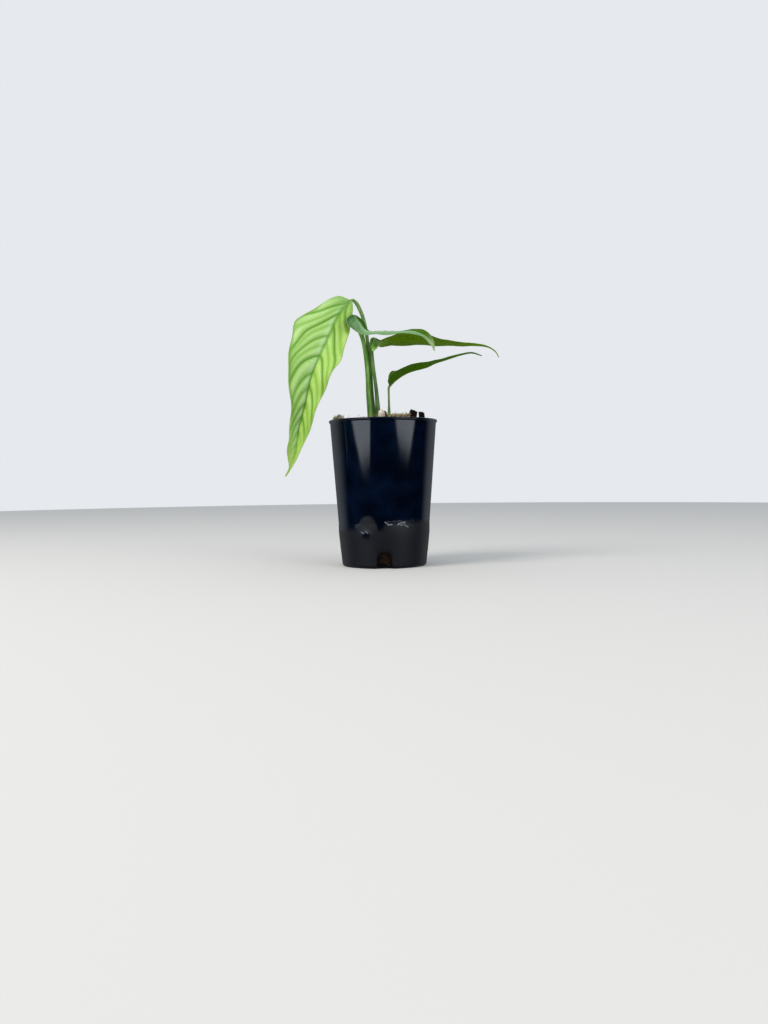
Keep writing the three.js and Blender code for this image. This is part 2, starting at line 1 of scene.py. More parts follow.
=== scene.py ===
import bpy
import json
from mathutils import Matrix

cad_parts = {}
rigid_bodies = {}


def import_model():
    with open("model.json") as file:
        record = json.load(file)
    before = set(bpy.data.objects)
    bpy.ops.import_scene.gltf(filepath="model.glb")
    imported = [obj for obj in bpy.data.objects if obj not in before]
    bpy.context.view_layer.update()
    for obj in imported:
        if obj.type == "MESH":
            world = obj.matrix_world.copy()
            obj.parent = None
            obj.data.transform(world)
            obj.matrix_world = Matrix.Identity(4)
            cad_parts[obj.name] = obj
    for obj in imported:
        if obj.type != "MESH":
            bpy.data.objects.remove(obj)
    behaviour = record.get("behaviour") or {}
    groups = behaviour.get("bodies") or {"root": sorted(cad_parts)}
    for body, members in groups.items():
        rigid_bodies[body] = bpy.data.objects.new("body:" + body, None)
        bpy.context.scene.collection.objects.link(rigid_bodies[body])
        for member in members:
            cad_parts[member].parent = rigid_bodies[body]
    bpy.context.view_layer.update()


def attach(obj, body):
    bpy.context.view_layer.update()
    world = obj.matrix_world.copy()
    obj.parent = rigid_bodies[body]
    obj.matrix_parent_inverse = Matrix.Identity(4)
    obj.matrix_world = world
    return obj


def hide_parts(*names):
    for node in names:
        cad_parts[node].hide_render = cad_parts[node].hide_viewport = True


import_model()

import json
import math

import bmesh
import bpy
import numpy as np
from mathutils import Euler, Matrix, Vector, noise

mm = 0.001
scene = bpy.context.scene
scene.view_settings.view_transform = "Standard"  # colours come out as they are mixed

# Camera, as the photograph was taken: distances in mm, angles in degrees
viewpoint = {"place": (0, -610, 63), "nearest": 10, "lens": 28.83, "tilt": 2.23, "roll": 0.65}
cameraData = bpy.data.cameras.new("camera")
cameraData.lens = viewpoint["lens"]
cameraData.clip_start = viewpoint["nearest"] * mm
camera = bpy.data.objects.new("camera", cameraData)
camera.matrix_world = (
    Matrix.Translation(Vector(viewpoint["place"]) * mm)
    @ Matrix.Rotation(math.radians(90 - viewpoint["tilt"]), 4, "X")
    @ Matrix.Rotation(math.radians(-viewpoint["roll"]), 4, "Z")
)
scene.collection.objects.link(camera)
scene.camera = camera


def linear(colour):
    # A colour as read off a screen, 0 to 255, as the shaders take it
    parts = [c / 255 for c in colour]
    return (*[p / 12.92 if p <= 0.04045 else ((p + 0.055) / 1.055) ** 2.4 for p in parts], 1.0)


def sums(operation, flipped=False):
    # The method for one operator, flipped where the wire stands at its right
    def method(self, *others):
        values = [self, *others]
        return self.reckon(operation, *(values[::-1] if flipped else values))

    return method


class Wire:
    # One output of a node, with the sums that the node trees below use

    def __init__(self, sheet, socket):
        self.sheet = sheet
        self.socket = socket

    def __getitem__(self, name):
        return Wire(self.sheet, self.socket.node.outputs[name])

    def reckon(self, operation, *values):
        return self.sheet.node("ShaderNodeMath", {"operation": operation}, dict(enumerate(values)))

    __add__, __radd__ = sums("ADD"), sums("ADD", True)
    __sub__, __rsub__ = sums("SUBTRACT"), sums("SUBTRACT", True)
    __mul__, __rmul__ = sums("MULTIPLY"), sums("MULTIPLY", True)
    __truediv__, __pow__, __abs__ = sums("DIVIDE"), sums("POWER"), sums("ABSOLUTE")
    top, low = sums("MAXIMUM"), sums("MINIMUM")

    def rise(self, start, end):
        # 0 before the start and 1 past the end, with a soft step between
        values = {"Value": self, "From Min": start, "From Max": end}
        return self.sheet.node("ShaderNodeMapRange", {"interpolation_type": "SMOOTHSTEP"}, values)

    def bell(self, reach):
        # 1 at zero, and it falls off softly over the reach on both sides
        part = self / reach
        return self.reckon("EXPONENT", part * part * -1)


class Sheet:
    # A node tree, and the one method that adds a node to it

    def __init__(self, tree):
        self.tree = tree

    def node(self, kind, settings=None, values=None):
        made = self.tree.nodes.new(kind)
        for name, setting in (settings or {}).items():
            if name == "stops":
                while len(made.color_ramp.elements) < len(setting):
                    made.color_ramp.elements.new(0.5)
                for stop, (place, colour) in zip(made.color_ramp.elements, setting):
                    stop.position = place
                    stop.color = linear(colour)
            else:
                setattr(made, name, setting)
        for name, value in (values or {}).items():
            if isinstance(name, int):
                socket = made.inputs[name]
            else:
                socket = next(s for s in made.inputs if s.name == name and s.enabled)
            if isinstance(value, Wire):
                self.tree.links.new(value.socket, socket)
            else:
                socket.default_value = value
        shown = [s for s in made.outputs if s.enabled]
        return Wire(self, shown[0]) if shown else None

    def blend(self, factor, *colours):
        # Between two colours, each one a wire or as read off a screen
        first, second = [c if isinstance(c, Wire) else linear(c) for c in colours]
        return self.node("ShaderNodeMix", {"data_type": "RGBA"}, {"Factor": factor, "A": first, "B": second})

    def cover(self, colour, look, *layers):
        # The colour with others of the look over it, each one as a factor and its name
        for factor, key in layers:
            colour = self.blend(factor, colour, look[key])
        return colour

    def read(self, name):
        return self.node("ShaderNodeAttribute", {"attribute_name": name})["Fac"]

    def vector(self, operation, first, second):
        return self.node("ShaderNodeVectorMath", {"operation": operation}, {0: first, 1: second})

    def place(self):
        # Object coordinates in millimetres
        return self.vector("MULTIPLY", self.node("ShaderNodeTexCoord")["Object"], (1000.0, 1000.0, 1000.0))

    def axes(self, place):
        parts = self.node("ShaderNodeSeparateXYZ", {}, {"Vector": place})
        return parts["X"], parts["Y"], parts["Z"]

    def grain(self, place, size, detail, stretch=None):
        # Noise whose lumps are about the given size, in the units of the place
        if stretch is not None:
            place = self.vector("MULTIPLY", place, stretch)
        values = {"Vector": place, "Scale": 1 / size, "Detail": detail, "Roughness": 0.55}
        return self.node("ShaderNodeTexNoise", {}, values)

    def named(self, shape, name, value, domain):
        # The shape with a value stored on it under a name
        values = {"Geometry": shape, "Name": name, "Value": value}
        return self.node("GeometryNodeStoreNamedAttribute", {"data_type": "FLOAT", "domain": domain}, values)

    def chance(self, low, high, seed, kind="FLOAT"):
        values = {"Min": low, "Max": high, "Seed": seed}
        return self.node("FunctionNodeRandomValue", {"data_type": kind}, values)


def newMaterial(name, fixed):
    material = bpy.data.materials.new(name)
    material.use_nodes = True
    shader = material.node_tree.nodes["Principled BSDF"]
    for socket, value in fixed.items():
        shader.inputs[socket].default_value = value
    return material, Sheet(material.node_tree)


def dress(material, sheet, colour, roughness, relief, depth):
    # The relief is a height from 0 to 1, and its depth is in metres
    normal = sheet.node("ShaderNodeBump", {}, {"Height": relief, "Distance": depth, "Strength": 1.0})
    shader = material.node_tree.nodes["Principled BSDF"]
    for socket, wire in (("Base Color", colour), ("Roughness", roughness), ("Normal", normal)):
        sheet.tree.links.new(wire.socket, shader.inputs[socket])
    return material


def newMesh(name, spots, faces, edges=()):
    # From places in millimetres
    mesh = bpy.data.meshes.new(name)
    mesh.from_pydata(np.array(spots, float) * mm, edges, faces)
    return mesh


def circle(radius, count, x=0.0, y=0.0):
    angles = [2 * math.pi * j / count for j in range(count)]
    return [(x + radius * math.cos(a), y + radius * math.sin(a)) for a in angles]


def ringMesh(name, spots, rings, ends=()):
    # Faces between rings of equally many points, where a pole is one point repeated
    faces = []
    for below, above in zip(rings, rings[1:]):
        for j in range(len(below)):
            k = (j + 1) % len(below)
            face = [below[j], below[k], above[k], above[j]]
            faces.append([v for i, v in enumerate(face) if v != face[i - 1]])
    return newMesh(name, spots, [*faces, *ends])


def newObject(name, mesh, material=None, smooth=True):
    made = bpy.data.objects.new(name, mesh)
    scene.collection.objects.link(made)
    if material is not None:
        mesh.materials.clear()
        mesh.materials.append(material)
    mesh.polygons.foreach_set("use_smooth", [smooth] * len(mesh.polygons))
    return made


def settle(made, material, creases=None):
    # The evaluated object as a plain mesh without modifiers
    graph = bpy.context.evaluated_depsgraph_get()
    mesh = bpy.data.meshes.new_from_object(made.evaluated_get(graph), depsgraph=graph)
    name, old = made.name, made.data
    bpy.data.objects.remove(made)
    bpy.data.meshes.remove(old)
    mesh.name = name
    done = newObject(name, mesh, material)
    if creases is not None:
        mesh.set_sharp_from_angle(angle=math.radians(creases))
    return done


def hand(piece, slot, *nodes):
    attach(piece, "root")
    if nodes:
        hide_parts(*nodes)


def store(mesh, name, values):
    layer = mesh.attributes.new(name, "FLOAT", "POINT")
    layer.data.foreach_set("value", np.asarray(values, np.float32))


def smoothAt(pairs, places):
    # Smooth values at places between the pairs of a list
    xs, ys = np.array(pairs, float).T
    slopes = np.empty_like(ys)
    slopes[1:-1] = (ys[2:] - ys[:-2]) / (xs[2:] - xs[:-2])
    for k, (a, b) in {0: (0, 1), -1: (-2, -1)}.items():
        slopes[k] = (ys[b] - ys[a]) / (xs[b] - xs[a])
    places = np.clip(places, xs[0], xs[-1])
    i = np.clip(np.searchsorted(xs, places) - 1, 0, len(xs) - 2)
    span = xs[i + 1] - xs[i]
    t = (places - xs[i]) / span
    return (
        (2 * t**3 - 3 * t**2 + 1) * ys[i]
        + (t**3 - 2 * t**2 + t) * span * slopes[i]
        + (3 * t**2 - 2 * t**3) * ys[i + 1]
        + (t**3 - t**2) * span * slopes[i + 1]
    )


def unit(vectors):
    return vectors / np.linalg.norm(vectors, axis=-1, keepdims=True)


class Line:
    # A smooth line through points, read at even steps of its length

    def __init__(self, points, steps=400):
        p = np.array(points, float)
        p = np.vstack([2 * p[0] - p[1], p, 2 * p[-1] - p[-2]])
        spans = len(p) - 3
        parts = []
        for i in range(spans):
            a, b, c, d = p[i : i + 4]
            ab, bc, cd = [max(np.linalg.norm(k) ** 0.5, 1e-4) for k in (b - a, c - b, d - c)]
            before = ((b - a) / ab - (c - a) / (ab + bc) + (c - b) / bc) * bc
            after = ((c - b) / bc - (d - b) / (bc + cd) + (d - c) / cd) * bc
            t = np.linspace(0, 1, steps // spans + 2)[:, None]
            bent = (3 * (c - b) - 2 * before - after) * t**2
            part = b + before * t + bent + (2 * (b - c) + before + after) * t**3
            parts.append(part if i == 0 else part[1:])
        self.spots = np.vstack(parts)
        run = np.r_[0, np.cumsum(np.linalg.norm(np.diff(self.spots, axis=0), axis=1))]
        self.length = run[-1]
        self.run = run / run[-1]

    def at(self, along):
        return np.stack([np.interp(along, self.run, self.spots[:, k]) for k in range(3)], axis=-1)

    def ahead(self, along):
        step = 0.004
        return unit(self.at(np.minimum(along + step, 1)) - self.at(np.maximum(along - step, 0)))


def evenVeins(first, step, count, reach, strong=1):
    # Side veins at even steps, each as its place, its reach and its strength; every second one is weak
    return [(first + step * k, reach, (strong, 0.5)[k % 2]) for k in range(count)]


# What the blades' looks share. Depths are from 0 to 1, reaches in mm, and places run along the midrib.
# The lobe colour is a painted shade
plainLook = {
    "late": (70, 106, 4), "lateFrom": 1.0, "lobe": (50, 90, 0), "lobeDepth": 0.0, "edgeDepth": 0.0,
    "leftDull": 0.0, "tipFrom": 0.8, "roughness": 0.42, "coat": 0.0, "gloss": 0.12, "midribReach": 0.5,
    "veinReach": 0.45, "besideReach": 0.5, "besideDepth": 0.5, "underDepth": 0.3, "shade": (20, 40, 10),
}

# Leaves, with the numbers of the solids. Every pair holds a place along the midrib, from 0 at the base to
# 1 at the tip, and a value there: half the width in mm, or the lift out of the facing plane in degrees.
hangingLeaf = {
    "midrib": [
        (-22.6, -3.6, 194.8), (-31, -9, 183.5), (-38.5, -15, 166), (-45, -20, 151), (-51, -23, 135),
        (-55, -25, 117.5), (-59.2, -26, 102), (-62, -26.5, 86), (-66.3, -26, 72), (-69.8, -25, 66.6),
    ],
    "facing": [(-0.25, -1, 0.25), (-0.1, -1, 0.1)],
    "right": {
        "widths": [
            (0, 1.2), (0.02, 6.3), (0.08, 12.2), (0.14, 17.6), (0.2, 24.4), (0.25, 27.4), (0.33, 24),
            (0.42, 21), (0.5, 16.8), (0.6, 12.9), (0.7, 8.6), (0.8, 6.8), (0.86, 7.2), (0.91, 4.2),
            (0.95, 1.4), (1, 0.5),
        ],
        "lift": [(0, 8), (0.3, 11), (0.6, 40), (1, 40)],
        "sweep": 0.3, "lobe": 5,
        "veins": [
            (0.015, 0.18, 0.9), (0.055, 0.25, 0.35), (0.1, 0.32, 1), (0.17, 0.27, 0.3), (0.24, 0.24, 0.8),
            (0.3, 0.21, 0.3), (0.36, 0.19, 1), (0.46, 0.19, 0.75), (0.54, 0.18, 0.6), (0.62, 0.17, 0.8),
            (0.69, 0.16, 0.7), (0.76, 0.14, 0.6), (0.83, 0.12, 0.5), (0.9, 0.08, 0.3),
        ],
    },
    "left": {
        "widths": [
            (0, 1.2), (0.03, 3.5), (0.08, 6.9), (0.15, 10.1), (0.2, 12.1), (0.25, 12.9), (0.32, 15.2),
            (0.4, 20.4), (0.5, 18.3), (0.6, 13.3), (0.7, 11.1), (0.8, 7.5), (0.9, 2.9), (0.95, 1), (1, 0.5),
        ],
        "lift": [(0, 6), (0.08, -16), (0.2, -20), (0.28, -6), (0.37, 20), (0.45, 30), (0.7, 26), (1, 24)],
        "sweep": 0.42, "lobe": 5,
        "veins": [
            (0.02, 0.2, 0.8), (0.09, 0.26, 0.35), (0.18, 0.27, 1), (0.28, 0.24, 0.4), (0.36, 0.22, 1),
            (0.45, 0.2, 0.35), (0.53, 0.19, 0.9), (0.62, 0.17, 0.35), (0.69, 0.15, 0.8), (0.77, 0.13, 0.35),
            (0.84, 0.1, 0.5),
        ],
    },
    "quilting": 1.1, "arch": 0.06, "waveHeight": 1, "waveCount": 5, "ribDepth": 1,
}
# The hanging leaf's bluer right half and its pale ridges are a painted sheen, the band beside its midrib is
# a painted highlight, its paler tip is a painted light, and its darker lobes and right margin band are
# painted shade
hangingLook = {
    **plainLook, "right": (158, 203, 100), "rightRidge": (204, 231, 162), "left": (160, 203, 84),
    "leftRidge": (206, 230, 140), "vein": (84, 139, 0), "veinReach": 1.1, "veinDepth": 1.0,
    "midrib": (88, 146, 26), "midribReach": 1.3, "beside": (184, 220, 160), "besideReach": 1.4,
    "besideDepth": 0.6, "lobe": (104, 152, 40), "lobeDepth": 0.4, "edgeDepth": 0.75,
    "margin": (124, 162, 62), "tip": (190, 226, 110), "tipFrom": 0.74, "base": (108, 160, 50),
    "under": (120, 172, 66), "underVein": (160, 200, 106), "underDepth": 0.5, "coat": 0.1, "gloss": 0.4,
}
longLeaf = {
    "midrib": [
        (-5.4, -4, 167.2), (-3, -3.8, 166.1), (2.9, -2.8, 165), (13.2, -1.2, 166), (24.3, -0.2, 166.1),
        (35.4, 0, 165.4), (46.4, -1, 163.8), (57.3, -2.5, 162.4), (68.1, -4.5, 161), (76, -6, 159.9),
        (80.6, -7, 157.7), (83.3, -7.5, 155.1), (85, -8, 151.7),
    ],
    "facing": [(0, 0.2, 1), (0.1, 0.2, 1)],
    "right": {
        "widths": [
            (0, 1.2), (0.015, 8.8), (0.03, 13), (0.055, 13.6), (0.09, 6.9), (0.13, 7.7), (0.2, 12),
            (0.35, 11.4), (0.5, 10.2), (0.62, 7), (0.74, 4.1), (0.84, 2.2), (0.9, 1.4), (1, 0.5),
        ],
        "lift": [
            (0, -28), (0.03, -69), (0.07, -34), (0.12, -1), (0.18, 7), (0.3, 8), (0.42, 6), (0.55, -12),
            (0.7, 0), (1, -3),
        ],
        "sweep": 0.2, "lobe": 4.3,
        "veins": evenVeins(0.02, 0.08, 11, 0.15),
    },
    "left": {
        "widths": [
            (0, 1), (0.04, 11.6), (0.1, 9.1), (0.2, 11.6), (0.35, 11), (0.5, 9.9), (0.62, 7.1), (0.74, 4.1),
            (0.84, 2), (0.9, 1.5), (1, 0.5),
        ],
        "lift": [
            (0, 11), (0.04, 6), (0.08, -10), (0.16, 4), (0.3, -4), (0.42, 6), (0.55, 0), (0.7, 10), (1, 0),
        ],
        "sweep": 0.2, "lobe": 0.2,
        "veins": evenVeins(0.04, 0.08, 11, 0.15),
    },
    "quilting": 0.7, "arch": 0.05, "waveHeight": 0.8, "waveCount": 4, "ribDepth": 0.9,
}
# The long leaf's pale base colour is a painted light on its shaded base lobe, and its paler ridges are a
# painted sheen
longLook = {
    **plainLook, "right": (80, 128, 14), "rightRidge": (98, 150, 26), "left": (80, 128, 14),
    "leftRidge": (98, 150, 26), "vein": (112, 154, 40), "veinDepth": 0.4, "midrib": (128, 164, 60),
    "beside": (86, 134, 22), "margin": (126, 156, 50), "tip": (120, 166, 40), "base": (190, 236, 130),
    "under": (104, 144, 0), "underVein": (120, 158, 12),
}
curledLeaf = {
    "midrib": [
        (-19.8, -10.3, 182.8), (-16.3, -11.3, 177.1), (-11.5, -12.5, 171.2), (-1.4, -15.5, 170),
        (12.9, -18.5, 169.3), (22.1, -20.5, 168.7), (27.8, -21.5, 166.6), (32.4, -22, 163.7),
        (35.9, -22.5, 159.7), (37.3, -22.5, 154.4),
    ],
    "facing": [(0.35, -0.2, 1), (0, 0, 1)],
    "right": {
        "widths": [
            (0, 1), (0.03, 3.1), (0.1, 11.8), (0.2, 6.6), (0.35, 6.4), (0.6, 6.3), (0.8, 5.4), (0.92, 3.2),
            (1, 0.5),
        ],
        "lift": [
            (0, -17), (0.06, -23), (0.12, -28), (0.2, -31), (0.35, -27), (0.5, -25), (0.65, -20), (0.8, -22),
            (0.92, -34), (1, -40),
        ],
        "sweep": 0.16, "lobe": 4,
        "veins": evenVeins(0.03, 0.09, 10, 0.13),
    },
    "left": {
        "widths": [
            (0, 1), (0.03, 2), (0.1, 5.3), (0.25, 7.2), (0.45, 7.2), (0.7, 7.6), (0.85, 4.3), (0.94, 2),
            (1, 0.5),
        ],
        "lift": [
            (0, 10), (0.06, 12), (0.12, 18), (0.25, 0), (0.4, 3), (0.55, 1), (0.68, 23), (0.85, 44), (1, 24),
        ],
        "sweep": 0.16, "lobe": 2.8,
        "veins": evenVeins(0.05, 0.09, 10, 0.13),
    },
    "quilting": 0.5, "arch": 0.05, "waveHeight": 0.5, "waveCount": 4, "ribDepth": 0.8,
}
# The curled leaf's pale grey-green near, right half and its ridges are a painted sheen; its pale midrib and
# margin are their own paler colour with a painted highlight on them; the band beside the midrib and the pale
# tip are painted highlights; its dark base and lobes are painted shade
curledLook = {
    **plainLook, "right": (106, 150, 90), "rightRidge": (120, 162, 106), "left": (44, 96, 0),
    "leftRidge": (56, 106, 0), "vein": (72, 118, 48), "veinDepth": 0.25, "midrib": (156, 188, 138),
    "midribReach": 0.7, "beside": (148, 178, 134), "besideReach": 1.6, "besideDepth": 0.8, "lateFrom": 0.48,
    "lobe": (34, 76, 18), "lobeDepth": 0.9, "margin": (140, 170, 104), "leftDull": 0.45,
    "tip": (184, 208, 136), "base": (52, 100, 18), "under": (60, 112, 20), "underVein": (104, 150, 60),
    "underDepth": 0.4, "roughness": 0.4, "coat": 0.03, "gloss": 0.16,
}
smallLeaf = {
    "midrib": [
        (5.1, -4.2, 132.3), (6.6, -4.2, 134), (9.2, -4.5, 136.2), (12.9, -5, 138.6), (17.3, -5.4, 141),
        (22.4, -6, 142.8), (32.6, -7.5, 145.2), (38.4, -8, 147.8), (45.7, -9, 149.9), (57.9, -11, 153.3),
        (65, -12, 154.2), (72, -13, 152),
    ],
    "facing": [(-0.3, 0, 1), (0, 0, 1)],
    "right": {
        "widths": [
            (0, 0.8), (0.02, 4.3), (0.05, 7), (0.09, 8.5), (0.14, 9.8), (0.2, 9.1), (0.3, 9), (0.45, 7.6),
            (0.58, 5), (0.75, 2), (0.9, 1.3), (1, 0.5),
        ],
        "lift": [(0, 4), (0.06, 16), (0.14, 23), (0.3, 26), (0.5, 14), (0.75, 20), (1, 30)],
        "sweep": 0.16, "lobe": 2.5,
        "veins": evenVeins(0.03, 0.085, 10, 0.13, 0.9),
    },
    "left": {
        "widths": [
            (0, 0.8), (0.02, 4.3), (0.05, 6.9), (0.09, 10.4), (0.13, 11.2), (0.18, 9.2), (0.3, 9),
            (0.45, 7.4), (0.58, 5.1), (0.75, 2), (0.9, 1.4), (1, 0.5),
        ],
        "lift": [
            (0, 0), (0.05, 21), (0.08, 36), (0.12, 43), (0.16, 36), (0.2, 30), (0.3, 33), (0.5, 23),
            (0.75, 30), (1, 38),
        ],
        "sweep": 0.16, "lobe": 2.5,
        "veins": evenVeins(0.05, 0.085, 10, 0.13, 0.9),
    },
    "quilting": 0.5, "arch": 0.06, "waveHeight": 0.5, "waveCount": 3, "ribDepth": 0.6,
}
# The small leaf's darker base lobes are painted shade, and its paler ridges are a painted sheen
smallLook = {
    **plainLook, "right": (66, 114, 0), "rightRidge": (78, 126, 6), "left": (66, 114, 0),
    "leftRidge": (78, 126, 6), "vein": (92, 136, 20), "veinReach": 0.35, "veinDepth": 0.3,
    "midrib": (104, 144, 40), "midribReach": 0.45, "beside": (70, 118, 4), "lobeDepth": 0.5,
    "margin": (92, 122, 26), "tip": (86, 118, 30), "base": (66, 116, 4), "under": (70, 112, 0),
    "underVein": (84, 124, 6), "roughness": 0.44,
}
sheetForm = {
    "rowLength": 0.6,  # mm between rows
    "columns": 26,  # on each side of the midrib
    "thickness": 0.5, "edgeThickness": 0.22, "edgeReach": 1.2,
    "fanReach": 0.08, "lobePlace": 0.03,  # how the base lobes lean back
    "stiffWidth": 8,
    "baseCrowding": 1.25,  # rows stand closer near the base above 1
    "ribCrowding": 1.1,  # and columns closer to the midrib
    "veinBend": 1.35, "veinSteps": 15, "veinRows": 0.12, "veinWidth": 0.6, "veinEnd": 1.5,
    "ribWidth": 0.8, "ribFade": 0.75, "ribGroove": 1.4, "ribRidge": 0.9,
    "quiltReach": 2.4,
    "grooveDepth": 0.08,  # of the lateral veins, on the upper face
    "ridgeHeight": 0.14,  # of the lateral veins, under the blade
    "edgeWaver": 0.12, "waverRate": 21,
}


def sheetPoints(leaf, line, along, s, bulge=0.0):
    # Points of the middle sheet, at places along the midrib; s runs from the left margin to the right one
    side = leaf["left"] if s < 0 else leaf["right"]
    across = abs(s)
    origins = np.r_[0, np.geomspace(0.001, 1, 240)]
    fan = (1 - origins) * (1 - np.exp(-origins / sheetForm["fanReach"]))
    past = np.interp(along, origins + side["sweep"] * fan * across**1.3, origins) / sheetForm["lobePlace"]
    forward = line.ahead(along)
    start, end = [np.array(f, float) for f in leaf["facing"]]
    face = start + (end - start) * along[:, None]
    face = unit(face - (face * forward).sum(1, keepdims=True) * forward)
    outward = np.cross(forward, face) * (-1 if s < 0 else 1)
    lift = np.radians(smoothAt(side["lift"], along))[:, None]
    width = smoothAt(side["widths"], along)
    soft = np.minimum(1, width / sheetForm["stiffWidth"])
    ripple = leaf["waveHeight"] * across**3 * np.sin(2 * math.pi * leaf["waveCount"] * along) * soft
    height = (bulge * soft + leaf["arch"] * width * math.sin(math.pi * across) + ripple)[:, None]
    back = (side["lobe"] * across**2 * past * np.exp(1 - past))[:, None]
    reach = (width * across)[:, None]
    spots = (
        line.at(along)
        + outward * (reach * np.cos(lift) - height * np.sin(lift))
        + face * (reach * np.sin(lift) + height * np.cos(lift))
        - forward * back
    )
    return spots, width


def gapTo(spots, path):
    # Distance of each spot to a line of straight pieces
    start, run = path[:-1], np.diff(path, axis=0)
    offset = spots[:, None] - start
    share = np.clip((offset * run).sum(2) / ((run**2).sum(1) + 1e-9), 0, 1)
    return np.linalg.norm(offset - share[..., None] * run, axis=2).min(axis=1)


def hump(values, reach):
    return np.exp(-((values / reach) ** 2))


def bladeMesh(name, leaf):
    form = sheetForm
    line = Line(leaf["midrib"])
    count = math.ceil(line.length / form["rowLength"])
    along = np.linspace(0, 1, count) ** form["baseCrowding"]
    half = np.linspace(0, 1, form["columns"] + 1) ** form["ribCrowding"]
    columns = np.r_[-half[:0:-1], half]
    middle, size, total = form["columns"], len(columns), count * len(columns)
    flat = [sheetPoints(leaf, line, along, s) for s in columns]
    grid, widths = [np.stack(found, axis=1) for found in zip(*flat)]
    places = np.broadcast_to(along[:, None], widths.shape)
    across = np.abs(columns)[None]
    midribGap, marginGap = widths * across, widths * (1 - across)
    # Each point's distance to the nearest lateral vein, and that vein's strength
    veinGap, veinStrength = np.full(widths.shape, 99.0), np.zeros(widths.shape)
    steps = np.linspace(0, 1, form["veinSteps"])
    for sign, side in ((-1, leaf["left"]), (1, leaf["right"])):
        mine = np.flatnonzero(columns * sign >= 0)
        for origin, reach, strength in side["veins"]:
            run = np.minimum(origin + reach * steps ** form["veinBend"], 1)
            ways = [max(s, 1e-6) * sign for s in steps]
            vein = [sheetPoints(leaf, line, run[i : i + 1], s)[0] for i, s in enumerate(ways)]
            near = (along > origin - form["veinRows"]) & (along < origin + reach + form["veinRows"])
            rows = np.flatnonzero(near)
            block = np.ix_(rows, mine)
            gap = gapTo(grid[block].reshape(-1, 3), np.vstack(vein)).reshape(len(rows), len(mine))
            nearer = gap < veinGap[block]
            veinGap[block] = np.where(nearer, gap, veinGap[block])
            veinStrength[block] = np.where(nearer, strength, veinStrength[block])
    # The tissue between veins swells, and a waver runs along the margin, which no real blade is without
    swell = leaf["quilting"] * (0.5 - hump(veinGap, form["quiltReach"]))
    swell = swell * np.sin(np.pi * across**0.8) * np.minimum(1, veinStrength + 0.3)
    swollen = [sheetPoints(leaf, line, along, s, swell[:, j])[0] for j, s in enumerate(columns)]
    grid = np.stack(swollen, axis=1)
    normals = unit(np.cross(np.gradient(grid, axis=1), np.gradient(grid, axis=0)) + 1e-12)
    turned = normals[count // 2, middle] @ np.array(leaf["facing"][0], float) < 0
    if turned:
        normals = -normals
    rate = form["waverRate"]
    phase = [noise.noise(Vector((v * rate, c, leaf["ribDepth"] * 7))) for v in along for c in (-1.5, 1.5)]
    phase = np.array(phase).reshape(-1, 2)
    waver = np.where(columns[None] < 0, phase[:, :1], phase[:, 1:]) * form["edgeWaver"] * across**4
    grid = grid + normals * waver[..., None] * np.minimum(1, widths / 4)[..., None]
    # Two faces, thinner at the margin, with the veins sunk in the upper one and raised on the lower one
    veinLine = hump(veinGap, form["veinWidth"]) * np.minimum(1, marginGap / form["veinEnd"])
    veinLine = veinLine * np.minimum(1, midribGap / form["veinWidth"]) * veinStrength
    ribLine = hump(midribGap, form["ribWidth"]) * (1 - form["ribFade"] * places)
    thin, full = form["edgeThickness"], form["thickness"]
    half = thin / 2 + (full - thin) / 2 * np.minimum(1, marginGap / form["edgeReach"])
    grooves = form["grooveDepth"] * (veinLine + form["ribGroove"] * ribLine)
    ridges = form["ridgeHeight"] * veinLine + leaf["ribDepth"] * form["ribRidge"] * ribLine
    upper, lower = grid + normals * (half - grooves)[..., None], grid - normals * (half + ridges)[..., None]
    index = np.arange(total).reshape(count, size)
    top = [index[:-1, :-1], index[:-1, 1:], index[1:, 1:], index[1:, :-1]]
    top = np.stack(top, axis=-1).reshape(-1, 4)
    ring = np.r_[index[0], index[1:, -1], index[-1, -2::-1], index[-2:0:-1, 0]]
    border = np.stack([ring, ring + total, np.roll(ring, -1) + total, np.roll(ring, -1)], axis=-1)
    faces = np.vstack([top, top[:, ::-1] + total, border])
    mesh = newMesh(name, np.vstack([upper.reshape(-1, 3), lower.reshape(-1, 3)]), faces.tolist())
    if turned:
        mesh.flip_normals()
    fields = {
        "veinGap": veinGap, "midribGap": midribGap, "marginGap": marginGap, "veinStrength": veinStrength,
        "along": places, "side": np.broadcast_to(columns, places.shape),
    }
    for label, values in fields.items():
        store(mesh, label, np.tile(values.ravel(), 2))
    store(mesh, "upper", np.r_[np.ones(total), np.zeros(total)])
    # The flat blade as its own UV, in units of 100 mm
    flat = np.stack([widths * columns[None], places * line.length], axis=-1)
    spread = np.tile(flat.reshape(-1, 2), (2, 1)) * 0.01
    corners = np.empty(len(mesh.loops), np.int32)
    mesh.loops.foreach_get("vertex_index", corners)
    layer = mesh.uv_layers.new(name="spread")
    layer.data.foreach_set("uv", spread[corners].ravel().astype(np.float32))
    return mesh


